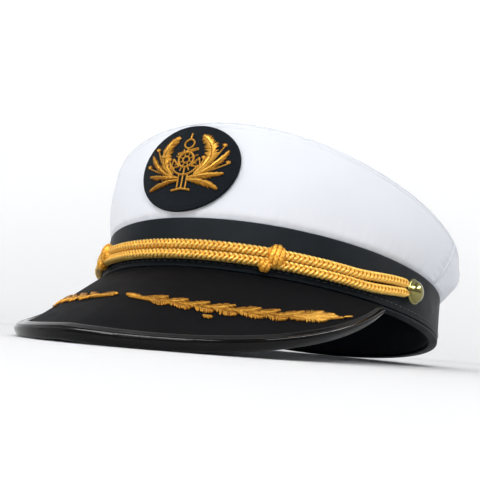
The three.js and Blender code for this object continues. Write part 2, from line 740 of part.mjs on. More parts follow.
function cordPoint(angle, level) {
  const climb = (Math.abs(angle) - CORD_RISE_ANGLE) / (BUTTON_ANGLE - CORD_RISE_ANGLE);
  const middle = mix(CORD_HEIGHT, BUTTON_HEIGHT, smooth(climb));
  const parting = CORD_PARTING * Math.sin(Math.PI * THREE.MathUtils.clamp(climb * 1.3, 0, 1));
  const spread = (CORD_DIAMETER + CLEARANCE) / 2 + parting / 2;
  return ringPoint(angle, cordOut, middle + level * spread);
}

function cordGeometry(level) {
  const radius = CORD_DIAMETER / 2;
  const points = evenSteps(-cordEndAngle, cordEndAngle, CORD_STEPS).map((angle) => cordPoint(angle, level));
  const circle = new THREE.Shape(evenSteps(0, 2 * Math.PI, CORD_SIDES).slice(0, -1).map((turn) => (
    new THREE.Vector2(radius * Math.cos(turn), radius * Math.sin(turn))
  )));
  return new THREE.ExtrudeGeometry(circle, {
    steps: CORD_STEPS,
    bevelEnabled: false,
    extrudePath: new THREE.CatmullRomCurve3(points, false, 'centripetal'),
  });
}

// Room that the cord pair takes where it passes through a knot, from the band outwards.
function cordPassage(angle) {
  const reach = KNOT_WIDTH / RIM_WIDTH;
  const half = CORD_DIAMETER + 1.5 * CLEARANCE;
  const depth = CORD_DIAMETER + 2 * CLEARANCE;
  const middle = cordPoint(angle, 0).z;
  const corner = (side) => PASSAGE_CORNER.map((row) => ({
    out: row.depth * depth,
    height: middle + side * row.rise * half,
  }));
  const sections = [...corner(-1), ...corner(1).reverse()];
  const grid = (scale) => evenSteps(angle - reach, angle + reach, 4).map((at) => (
    sections.map((section) => ringPoint(at, scale * section.out, section.height))
  ));
  return wallGeometry(grid(1), grid(0), false);
}

// Slide knot: an oval bead wrapped over both cords, open only where the cords pass.
function knotGeometry(side) {
  const angle = side * KNOT_ANGLE;
  const centre = cordPoint(angle, 1).lerp(cordPoint(angle, -1), 0.5);
  const outward = ringNormal(angle);
  const sideways = outward.clone().cross(new THREE.Vector3(0, 0, 1));
  const bead = new THREE.SphereGeometry(0.5, 12, 8);
  bead.scale(KNOT_WIDTH, KNOT_DEPTH, KNOT_HEIGHT);
  bead.applyMatrix4(new THREE.Matrix4().makeBasis(sideways, outward, new THREE.Vector3(0, 0, 1)));
  const lift = KNOT_DEPTH / 2 - CORD_DIAMETER / 2 + CLEARANCE;
  bead.translate(...centre.addScaledVector(outward, lift / 2));
  return fromSolid(toSolid(bead).subtract(toSolid(cordPassage(angle))).subtract(cutter));
}

function buttonGeometry() {
  const shank = BUTTON_SHANK_DIAMETER / 2;
  const seat = BUTTON_SHANK_LENGTH;
  const profile = [new THREE.Vector2(0, 0), new THREE.Vector2(shank, 0), new THREE.Vector2(shank, seat)];
  profile.push(new THREE.Vector2(buttonRadius, seat));
  const rise = 4;
  for (let i = 0; i <= rise; i += 1) {
    const turn = (i / rise) * (Math.PI / 2);
    const radius = i === rise ? 0 : buttonRadius * Math.cos(turn);
    profile.push(new THREE.Vector2(radius, seat + BUTTON_EDGE + BUTTON_DOME * Math.sin(turn)));
  }
  return new THREE.LatheGeometry(profile, 16);
}

// Finishes
function finish(color, roughness, metalness) {
  return new THREE.MeshStandardMaterial({ color, roughness, metalness });
}
const whiteCloth = () => finish(0xeef1f7, 0.85, 0);
const blackCloth = () => finish(0x14171c, 0.7, 0);
const navyCloth = () => finish(0x0d1420, 0.75, 0);
const patent = () => finish(0x0a0a0b, 0.2, 0);
const goldThread = () => finish(0xe0a030, 0.5, 0.2);
const brass = () => finish(0x9c8f45, 0.2, 1);

const hat = new THREE.Group();

function addPiece(name, geometry, material) {
  const piece = new THREE.Mesh(geometry, material);
  piece.name = name;
  hat.add(piece);
  return piece;
}

addPiece('hat_band', bandGeometry(), blackCloth());
addPiece('rim_binding', bindingGeometry(), blackCloth());
addPiece('sweatband', sweatbandGeometry(), navyCloth());
addPiece('crown_side', crownWall(openEnds(frontAngles)), whiteCloth());
addPiece('crown_back', crownWall(openEnds(backAngles)), whiteCloth());
addPiece('crown_top', crownTopGeometry(), whiteCloth());
addPiece('peak_board', boardGeometry(), blackCloth());
addPiece('peak_lining', liningGeometry(), blackCloth());
const trim = addPiece('peak_trim', trimGeometry(), patent());
addPiece('badge_patch', badgeGeometry(), navyCloth());
addPiece('badge_emblem', emblemGeometry(), goldThread());
addPiece('cord_upper', cordGeometry(1), goldThread());
addPiece('cord_lower', cordGeometry(-1), goldThread());

for (const [name, side] of [['left', -1], ['right', 1]]) {
  addPiece(`peak_spray_${name}`, sprayGeometry(side), goldThread());
  addPiece(`cord_knot_${name}`, knotGeometry(side), goldThread());
  const button = addPiece(`side_button_${name}`, buttonGeometry(), brass());
  const angle = side * BUTTON_ANGLE;
  button.position.copy(ringPoint(angle, 0, BUTTON_HEIGHT).addScaledVector(ringNormal(angle), CLEARANCE));
  button.quaternion.setFromUnitVectors(new THREE.Vector3(0, 1, 0), ringNormal(angle));
}

// The hat leans back until the peak's trim and the back of the rim stand on one plane.
function restTilt() {
  const backY = RIM_LENGTH / 2 - BINDING_ROUND;
  const position = trim.geometry.attributes.position;
  let tilt = 0;
  for (let i = 0; i < position.count; i += 1) {
    tilt = Math.max(tilt, Math.atan2(-position.getZ(i), backY - position.getY(i)));
  }
  return tilt;
}

hat.rotation.x = -restTilt();
hat.updateMatrixWorld(true);
const box = new THREE.Box3().setFromObject(hat, true);
hat.position.set(0, -(box.min.y + box.max.y) / 2, -box.min.z);

const captainHat = new THREE.Group();
captainHat.add(hat);
export default captainHat;
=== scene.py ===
"""Captain hat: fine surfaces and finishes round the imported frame.

Shapes are worked out in millimetres in the hat's own frame: its rim lies level at height 0, its
front faces -Y, and angles run from the front towards +X. to_row turns points into the row frame.
"""
import json
import math

import bpy
import numpy as np
from bpy.props import FloatProperty, FloatVectorProperty, PointerProperty
from mathutils import Matrix, Vector


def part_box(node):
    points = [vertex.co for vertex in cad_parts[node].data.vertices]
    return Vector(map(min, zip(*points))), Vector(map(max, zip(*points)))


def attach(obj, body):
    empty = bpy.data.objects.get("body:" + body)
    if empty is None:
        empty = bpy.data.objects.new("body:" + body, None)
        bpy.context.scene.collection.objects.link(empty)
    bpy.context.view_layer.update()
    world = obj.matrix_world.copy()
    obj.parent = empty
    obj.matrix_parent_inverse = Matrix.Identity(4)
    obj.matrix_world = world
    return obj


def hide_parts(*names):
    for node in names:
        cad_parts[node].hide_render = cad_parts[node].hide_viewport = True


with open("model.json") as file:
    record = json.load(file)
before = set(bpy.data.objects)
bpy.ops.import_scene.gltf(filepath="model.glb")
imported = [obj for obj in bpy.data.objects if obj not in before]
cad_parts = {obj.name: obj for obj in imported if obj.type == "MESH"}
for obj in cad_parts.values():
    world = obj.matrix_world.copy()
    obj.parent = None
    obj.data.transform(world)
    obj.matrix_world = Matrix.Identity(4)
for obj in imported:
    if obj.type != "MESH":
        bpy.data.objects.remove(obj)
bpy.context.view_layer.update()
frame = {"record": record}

bl_info = {
    "name": "Captain Hat",
    "version": (1, 0, 0),
    "blender": (4, 5, 0),
    "location": "3D View > Sidebar > Captain Hat",
    "description": "Builds the cloth, embroidery, cords and fittings of a captain's hat",
    "category": "Object",
}

MM = 0.001
DEGREE = math.pi / 180
TURN = 2 * math.pi

# Sizes of the hat, as in its solids
CLEARANCE = 0.3
RIM_LENGTH = 206.0
RIM_WIDTH = 174.0
BAND_HEIGHT = 23.5
BAND_WALL = 1.6
BINDING_HEIGHT = 1.5
SWEATBAND_HEIGHT = 32.0
SWEATBAND_WALL = 1.1
SWEATBAND_LEAN = 1.2
CROWN_CLOTH = 1.2
CROWN_HEM = 7.0
CROWN_FRONT_HEIGHT = 68.0
CROWN_SIDE_HEIGHT = 45.0
CROWN_BACK_HEIGHT = 46.0
CROWN_TOP_WIDTH = 190.5
CROWN_FRONT_REACH = 102.2
CROWN_BACK_REACH = 115.5
CROWN_DOME = 9.0
FRONT_BULGE = 1.2
SIDE_BULGE = 2.2
BACK_BULGE = 4.5
FOLD_DEPTH = 1.4
EDGE_SINK = 0.25
SEAM_ANGLE = 87 * DEGREE
PEAK_ROOT_ANGLE = 62.5 * DEGREE
PEAK_ROOT_HEIGHT = 0.6
PEAK_DEPTH = 53.0
PEAK_DROP = 39.0
PEAK_POWER = 2 / 1.88
PEAK_STEEPNESS = 1.18
PEAK_END = 0.955
LINING_END = 0.9
PEAK_GATHER = 81 * DEGREE
BOARD_TOP = 0.7
LINING_THICKNESS = 1.0
TRIM_WALL = 1.0
TRIM_TOP = 6.5
TRIM_UNDER = 9.0
TRIM_ROLL = 3.4
TRIM_BEAD = 0.9
CORD_RADIUS = 2.0
CORD_HEIGHT = 8.8
CORD_RISE = 50 * DEGREE
CORD_PARTING = 0.7
KNOT_ANGLE = 29 * DEGREE
BUTTON_ANGLE = 71.5 * DEGREE
BUTTON_HEIGHT = 12.6
BUTTON_RADIUS = 5.75
BUTTON_SEAT = 1.6
BADGE_WIDTH = 47.0
BADGE_HEIGHT = 41.0
BADGE_CENTRE = 46.0
BADGE_THICKNESS = 1.6

HEM_INSET = BAND_WALL + CLEARANCE
SWEATBAND_INSET = HEM_INSET + CROWN_CLOTH + CLEARANCE
RIM_INSET = SWEATBAND_INSET + SWEATBAND_WALL
BAND_FOOT = BINDING_HEIGHT + CLEARANCE
HALF_WIDTH = RIM_WIDTH / 2
HALF_LENGTH = RIM_LENGTH / 2

# Folds of the crown: place is a share of the way from front to back, depth of FOLD_DEPTH
FOLDS = [
    # place, width, depth, side
    (0.27, 0.035, -0.35, 1), (0.36, 0.03, 0.3, 1), (0.31, 0.035, -0.3, -1),
    (0.52, 0.03, -0.8, 1), (0.59, 0.035, 0.7, 1), (0.68, 0.03, -0.6, 1),
    (0.53, 0.03, -0.7, -1), (0.62, 0.035, 0.8, -1), (0.72, 0.03, -0.5, -1),
    (0.8, 0.04, 0.5, 1), (0.86, 0.03, -0.6, -1), (0.93, 0.03, -0.5, 1),
]

CREASE_COUNT = 64

# Seeds of the random draws
CREASE_SEED, SPRAY_SEED, EMBLEM_SEED = 41, 7, 23

# Leaves of a peak spray, in shares of the peak's half width and of its depth
SPRAY_LEAVES = [
    # from, to, from depth, to depth, width, painted light and tone; leaves on one side of the stem
    # are painted darker, a painted shade, and the end cluster is lighter
    (0.1, 0.02, 0.5, 0.475, 0.035, 0.6), (0.1, 0.18, 0.5, 0.455, 0.045, 0.6),
    (0.12, 0.2, 0.51, 0.55, 0.045, 0.5), (0.17, 0.25, 0.515, 0.465, 0.055, 0.65),
    (0.19, 0.28, 0.52, 0.572, 0.05, 0.5), (0.24, 0.32, 0.525, 0.47, 0.055, 0.6),
    (0.27, 0.35, 0.53, 0.585, 0.055, 0.5), (0.31, 0.4, 0.535, 0.475, 0.06, 0.65),
    (0.34, 0.42, 0.54, 0.6, 0.055, 0.5), (0.39, 0.48, 0.545, 0.48, 0.065, 0.62),
    (0.41, 0.5, 0.55, 0.615, 0.06, 0.48), (0.46, 0.54, 0.555, 0.485, 0.065, 0.6),
    (0.48, 0.57, 0.56, 0.63, 0.06, 0.5), (0.53, 0.62, 0.565, 0.485, 0.07, 0.65),
    (0.55, 0.63, 0.57, 0.635, 0.055, 0.5), (0.585, 0.685, 0.57, 0.47, 0.095, 0.88),
    (0.59, 0.73, 0.575, 0.52, 0.1, 0.88), (0.6, 0.745, 0.58, 0.585, 0.1, 0.88),
    (0.6, 0.705, 0.585, 0.65, 0.09, 0.82), (0.765, 0.8, 0.6, 0.61, 0.035, 0.75),
    (0.33, 0.36, 0.645, 0.655, 0.03, 0.7),
]
# Stem of a spray: from, to, from depth and to depth; the spray's lengths run at SPRAY_REACH
SPRAY_STEM = (0.04, 0.76, 0.485, 0.59)
SPRAY_REACH = 0.55

# Width of an embroidered leaf at places along it, as shares
LEAF_PLACES = (0, 0.2, 0.5, 0.75, 0.92, 1)
LEAF_WIDTHS = (0.22, 0.55, 1, 0.95, 0.65, 0.25)

# Right half of the badge's leaves, in shares of its half width and half height
BADGE_LEAVES = [
    # from x, from y, bend x, bend y, to x, to y, width
    (0.24, -0.2, 0.8, 0.34, 0.24, 0.84, 0.2), (0.26, -0.22, 0.66, -0.06, 0.86, 0.42, 0.11),
    (0.1, -0.27, 0.45, -0.24, 0.84, -0.16, 0.1), (0.1, -0.33, 0.42, -0.33, 0.78, -0.54, 0.11),
]
FIRST_LEAF_LOBES = 5
BADGE_BUDS = [
    # from x, from y, to x, to y
    (0.42, -0.08, 0.74, 0.52), (0.34, -0.18, 0.88, 0.08), (0.24, -0.14, 0.38, 0.2),
]

EMBLEM_SCALE, EMBLEM_SHIFT = 0.9, -0.6

# Anchor and wheel, in shares of the badge's half height
RING_HEIGHT, RING_RADIUS, STOCK_HEIGHT, STOCK_HALF = 0.62, 0.14, 0.44, 0.25
ARM_RADIUS, ARM_HEIGHT, ARM_TURN, FLUKE = 0.36, 0.18, 68 * DEGREE, 0.16
POST_SPREAD, POST_FOOT, BASE_HALF = 0.11, -0.52, 0.24
WHEEL_HEIGHT, WHEEL_RADIUS, WHEEL_HUB, WHEEL_REACH, WHEEL_HANDLES = 0.2, 0.19, 0.08, 0.3, 8

# Rows and columns of the fine grids
SIDE_COLUMNS, BACK_COLUMNS, TOP_COLUMNS, PIPING_ROWS = 320, 380, 400, 120
BAND_COLUMNS, BINDING_COLUMNS = 540, 480
BOARD_COLUMNS, LINING_COLUMNS, TRIM_COLUMNS, TRIM_ROWS = 220, 380, 260, 44
BADGE_COLUMNS, CORD_ROWS, CORD_SIDES, THREAD_SIDES, BUTTON_COLUMNS = 160, 1700, 28, 8, 72

# Piping and sewn stitches, in millimetres; a stitch's pitch is a multiple of its length
PIPING_RADIUS, PIPING_OUT = 0.75, 0.4
STITCH_WIDTH, STITCH_HEIGHT, STITCH_PITCH = 0.4, 0.3, 1.5
BAND_STITCH_RISE, SWEATBAND_STITCH_RISE, SEAM_STITCH_AWAY = 2.4, 2.2, 2.6

# Stage, in metres
FLOOR_REACH, WALL_DISTANCE, WALL_BEND, WALL_HEIGHT = 14.0, 1.8, 0.9, 5.0
LAMP_TARGET = Vector((0, 0, 0.04))
LAMPS = (
    # name, forward, right, up, width, height, power; a gleam is seen in glossy reflections only
    ("key_lamp", 1.3, 0.05, 1.0, 1.1, 0.9, 6.8),
    ("left_lamp", 0.35, -1.5, 0.75, 0.9, 1.4, 2.2),
    ("right_lamp", 0.1, 1.5, 0.8, 0.7, 1.0, 1.5),
    ("top_lamp", 0.0, 0.0, 1.9, 1.6, 1.6, 5.2),
    ("strip_lamp", 0.9, -0.35, 0.75, 1.7, 0.04, 6.5),
    ("gleam_front", 0.9, -0.25, 0.95, 2.4, 0.12, 25.0),
    ("gleam_right", 0.25, 1.5, 0.75, 1.2, 0.14, 13.0),
)

# Threads of the embroidery, in millimetres
LEAF_THREAD_PITCH, LEAF_THREAD_WIDTH, LEAF_THREAD_HEIGHT = 0.4, 0.5, 0.42
COUCH_STEP, COUCH_TWIST = 0.22, 1.1

# Beads of a knot: out, up and along from between the cords, sizes, wraps and their lean
KNOT_BEADS = [
    (0.85, 0.9, 0.0, (7.2, 6.2, 10.4), 3.4, 0.25),
    (0.7, -3.6, 4.2, (5.0, 5.4, 6.0), 2.4, 0.5),
]

SIDES = (("left", -1), ("right", 1))
UP = np.array([0.0, 0.0, 1.0])


def mix(low, high, share):
    return low + (high - low) * share


def smooth(share):
    t = np.clip(share, 0, 1)
    return t * t * (3 - 2 * t)


def bell(away, width):
    """e to the power of minus the square of away over width."""
    return np.exp(-((away / width) ** 2))


def unit(vectors):
    return vectors / np.maximum(np.linalg.norm(vectors, axis=-1, keepdims=True), 1e-12)


def turns(count, start=0):
    """Even angles once round a circle."""
    return (np.arange(count) + start) * TURN / count


def once_round(start, count):
    """Even angles once round the hat, as a column."""
    return np.linspace(start, start + TURN, count, endpoint=False)[:, None]


def run_along(line):
    """Length of a line from its first point to each of its points."""
    return np.concatenate([[0], np.cumsum(np.linalg.norm(np.diff(line, axis=0), axis=1))])


def lengths_round(grids, axis):
    """Length from each grid's first row to each row along an axis, and on back to the first."""
    closed = np.concatenate([grids, np.take(grids, [0], axis)], axis)
    steps = np.linalg.norm(np.diff(closed, axis=axis), axis=-1)
    return np.concatenate([0 * np.take(steps, [0], axis), np.cumsum(steps, axis)], axis)

# The hat's own frame in the row frame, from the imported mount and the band's box
mount_axis = frame["record"]["mounts"][0]["axis"]
TILT = math.atan2(-mount_axis[1], -mount_axis[2])
band_low, band_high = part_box("hat_band")
SHIFT_Y = (band_low.y + band_high.y) / 2 / MM - (BAND_FOOT + BAND_HEIGHT) / 2 * math.sin(TILT)
SHIFT_Z = band_low.z / MM + HALF_LENGTH * math.sin(TILT) - BAND_FOOT * math.cos(TILT)


def to_row(points):
    """Leans points back by the rest tilt and moves them to the row frame, in metres."""
    x, y, z = np.moveaxis(np.asarray(points, float), -1, 0)
    c, s = math.cos(TILT), math.sin(TILT)
    return np.stack([x, y * c + z * s + SHIFT_Y, z * c - y * s + SHIFT_Z], -1) * MM


def ring_point(angle, out, height):
    """x = (half width + out) sin a and y = -(half length + out) cos a, at the given height."""
    angle, out, height = np.broadcast_arrays(angle, out, height)
    return np.stack([(HALF_WIDTH + out) * np.sin(angle), -(HALF_LENGTH + out) * np.cos(angle),
                     height.astype(float)], -1)


def ring_normal(angle):
    """Level outward direction of the rim's oval."""
    angle = np.asarray(angle, float)
    return unit(np.stack([np.sin(angle) / RIM_WIDTH, -np.cos(angle) / RIM_LENGTH, 0 * angle], -1))


def edge_height(y):
    """Height of the crown's top edge: side height + slope f + bow f squared, f the way forward."""
    f = -y / np.where(y < 0, CROWN_FRONT_REACH, CROWN_BACK_REACH)
    slope = (CROWN_FRONT_HEIGHT - CROWN_BACK_HEIGHT) / 2
    bow = (CROWN_FRONT_HEIGHT + CROWN_BACK_HEIGHT) / 2 - CROWN_SIDE_HEIGHT
    return CROWN_SIDE_HEIGHT + slope * f + bow * f * f


def crown_reach(angle):
    """Half length of the crown's top edge, before and behind its middle."""
    return np.where(np.cos(angle) > 0, CROWN_FRONT_REACH, CROWN_BACK_REACH)


def sines(angle, *terms):
    """Sum of waves round the hat: each term is a height, a rate and a phase."""
    return sum(height * np.sin(rate * angle + phase) for height, rate, phase in terms)


def crown_bulge(angle):
    """How far the cloth stands out: a bulge blended by cosine squared, plus one bell per fold."""
    forward = np.cos(angle)
    end = np.where(forward > 0, FRONT_BULGE, BACK_BULGE)
    turn = np.arctan2(np.sin(angle), forward) / math.pi
    folds = sum(FOLD_DEPTH * depth * bell(turn - place * side, width)
                for place, width, depth, side in FOLDS)
    return mix(SIDE_BULGE, end, forward ** 2) + folds


def crease_table():
    """Small creases: place round the crown, middle height, lean, width, length and depth."""
    rng = np.random.default_rng(CREASE_SEED)
    rows = []
    for _ in range(CREASE_COUNT):
        place = rng.uniform(-1, 1)
        slack = smooth((abs(place) - 0.3) / 0.25)
        depth = mix(0.22, 0.65, slack) * rng.choice([-1, 1]) * rng.uniform(0.4, 1)
        rows.append((place, rng.uniform(0.1, 0.95), rng.uniform(-0.09, 0.09),
                     rng.uniform(0.012, 0.035), rng.uniform(0.15, 0.45), depth))
    return rows


CREASES = crease_table()


def crown_creases(angle, share):
    """Sum of bells across each crease's leaning line, times a bell along it."""
    turn = np.arctan2(np.sin(angle), np.cos(angle)) / math.pi
    total = 0
    for place, middle, lean, width, length, depth in CREASES:
        away = (turn - place - lean * (share - middle) + 1) % 2 - 1
        total = total + depth * np.exp(-((away / width) ** 2) - ((share - middle) / length) ** 2)
    return total * np.sin(math.pi * np.clip(share, 0, 1)) ** 0.5


def seam_dip(angle, share):
    """The back cloth sinks to each side seam in half a bell, with small puckers beside the seam."""
    turn = np.abs(np.arctan2(np.sin(angle), np.cos(angle)))
    away = (turn - SEAM_ANGLE) * HALF_LENGTH
    pucker = 0.22 * np.sin(share * 46) * bell(np.abs(away) - 4, 3)
    valley = np.where(away > 0, -1.3 * bell(away, 3.6), 0)
    return valley + pucker


def crown_gathers(angle, share):
    """Fine ripples where the cloth meets the band, and finer ones under the top edge."""
    low = sines(angle, (0.16, 61, 1.3), (0.12, 97, 4.1), (0.08, 143, 0))
    high = sines(angle, (0.1, 83, 0.4), (0.07, 131, 2))
    stitch_line = -0.28 * bell(share - 0.945, 0.012)
    return low * np.exp(-share / 0.09) + high * np.exp(-(1 - share) / 0.06) + stitch_line


def crown_point(angle, share, inset=0.0, fine=True):
    """Wall from the band (share 0) to the top edge (share 1): the oval grows from the rim's to the
    top's, plus bulge times sine of the share, less the inset. Fine adds creases, seams and gathers,
    and sinks the wall's upper edge a little into the top's rolled edge."""
    angle, share = np.broadcast_arrays(np.asarray(angle, float), np.asarray(share, float))
    grow = crown_bulge(angle) * np.sin(math.pi * share) - inset
    if fine:
        tuck = 1.1 * bell(share, 0.035) + 0.3 * smooth((share - 0.972) / 0.028) ** 2
        grow = (grow + crown_creases(angle, share) + seam_dip(angle, share)
                + crown_gathers(angle, share) - tuck)
    reach = crown_reach(angle)
    x = (mix(HALF_WIDTH, CROWN_TOP_WIDTH / 2, share) + grow) * np.sin(angle)
    y = -(mix(HALF_LENGTH, reach, share) + grow) * np.cos(angle)
    top = edge_height(-(reach - inset) * np.cos(angle)) + (EDGE_SINK if fine else -CLEARANCE)
    z = mix(BAND_HEIGHT + CLEARANCE, top, share) + max(inset, 0.0) * (1 - share)
    return np.stack([x, y, z], -1)


def surface_frame(place, u, v, step=1e-3):
    """Point, direction of u and outward normal of a surface place(u, v)."""
    sideways = unit(place(u + step, v) - place(u - step, v))
    upwards = place(u, v + step) - place(u, v - step)
    return place(u, v), sideways, unit(np.cross(sideways, upwards))


def front_place(x, height, out):
    """Badge plane laid on the crown's front: x along it, height above the rim, out from it."""
    angle = x / HALF_WIDTH
    foot = crown_point(angle, 0 * angle, fine=False)[..., 2]
    top = crown_point(angle, 0 * angle + 1, fine=False)[..., 2]
    share = (height - foot) / (top - foot)
    point, _, normal = surface_frame(lambda a, v: crown_point(a, v, fine=False), angle, share)
    return point + normal * np.asarray(out)[..., None]


def peak_ruling(across):
    """Root on the band and outer edge of the peak. The edge is a rounded rectangle in plan, and
    drops by a blend of the root and the whole of the share inward from the peak's ends."""
    root = ring_point(across * PEAK_ROOT_ANGLE, 0, PEAK_ROOT_HEIGHT)
    corner = ring_point(PEAK_ROOT_ANGLE, 0, PEAK_ROOT_HEIGHT)
    turn = across * math.pi / 2
    x = corner[0] * np.sign(turn) * np.abs(np.sin(turn)) ** PEAK_POWER
    y = mix(corner[1], -HALF_LENGTH - PEAK_DEPTH, np.abs(np.cos(turn)) ** PEAK_POWER)
    inward = np.clip(1 - np.abs(x) / corner[0], 0, 1)
    fall = (1 + PEAK_STEEPNESS) * np.sqrt(inward) - PEAK_STEEPNESS * inward
    return root, np.stack([x, y, PEAK_ROOT_HEIGHT - PEAK_DROP * fall], -1)


def peak_length(across):
    """Length of the peak's ruling from the band to its edge."""
    root, edge = peak_ruling(across)
    return np.linalg.norm(edge - root, axis=-1)


def peak_point(across, reach, height):
    """Point at a share of the way from root to edge, raised along the peak's upward normal."""
    across, reach, height = np.broadcast_arrays(across, reach, height)

    def flat(a):
        root, edge = peak_ruling(a)
        return root + (edge - root) * reach[..., None]

    step = 1e-3
    root, edge = peak_ruling(across)
    normal = unit(np.cross(flat(across + step) - flat(across - step), root - edge))
    return clear_of_band(flat(across) + normal * height[..., None])


def clear_of_band(points):
    """Points nearer to the rim's oval than the clearance slide out along their own direction."""
    x, y, z = np.moveaxis(points, -1, 0)
    share = np.hypot(x / (HALF_WIDTH + CLEARANCE), y / (HALF_LENGTH + CLEARANCE))
    grow = np.where(share < 1, 1 / np.maximum(share, 0.5), 1)
    return np.stack([x * grow, y * grow, z], -1)


def peak_columns(end, count):
    """Columns across the peak, gathered towards its two ends by a sine."""
    return end * np.sin(np.linspace(-1, 1, count) * PEAK_GATHER) / math.sin(PEAK_GATHER)


def cord_point(angle, level):
    """Centre of a cord along the band: low in front, rising smoothly to the buttons."""
    angle = np.asarray(angle, float)
    climb = (np.abs(angle) - CORD_RISE) / (BUTTON_ANGLE - CORD_RISE)
    middle = mix(CORD_HEIGHT, BUTTON_HEIGHT, smooth(climb))
    parting = CORD_PARTING * np.sin(math.pi * np.clip(climb * 1.3, 0, 1))
    spread = (2 * CORD_RADIUS + CLEARANCE) / 2 + parting / 2
    return ring_point(angle, CORD_RADIUS + CLEARANCE, middle + level * spread)


def catmull(points, count):
    """Smooth line through control points, by cubic segments with averaged tangents."""
    points = np.asarray(points, float)
    tangents = np.gradient(points, axis=0)
    t = np.linspace(0, len(points) - 1, count)
    i = np.minimum(t.astype(int), len(points) - 2)
    s = (t - i)[:, None]
    h00, h10 = 2 * s ** 3 - 3 * s ** 2 + 1, s ** 3 - 2 * s ** 2 + s
    h01, h11 = -2 * s ** 3 + 3 * s ** 2, s ** 3 - s ** 2
    return h00 * points[i] + h10 * tangents[i] + h01 * points[i + 1] + h11 * tangents[i + 1]


def rounded_box(low_out, high_out, low, high, radius, rows):
    """Closed outline of a rectangle with quarter round corners, as outward and height values."""
    near, far, foot, top = low_out + radius, high_out - radius, low + radius, high - radius
    rise = np.linspace(foot, top, rows)[1:-1]
    centres = ((far, foot), (far, top), (near, top), (near, foot))
    corners = []
    for quarter, (out, height) in enumerate(centres, -1):
        turn = quarter * math.pi / 2 + np.linspace(0, math.pi / 2, 5)
        corners.append(np.stack([out + radius * np.cos(turn), height + radius * np.sin(turn)], -1))
    outer = np.stack([0 * rise + high_out, rise], -1)
    inner = np.stack([0 * rise + low_out, rise[::-1]], -1)
    return np.concatenate([corners[0], outer, corners[1], corners[2], inner, corners[3]])


def spanned(points, faces):
    """Six times the signed volume that each grid's faces span from the origin."""
    first, *others = (points[:, corner] for corner in faces.T)
    return sum(np.einsum("nfi,nfi->n", first, np.cross(b, c)) for b, c in zip(others, others[1:]))


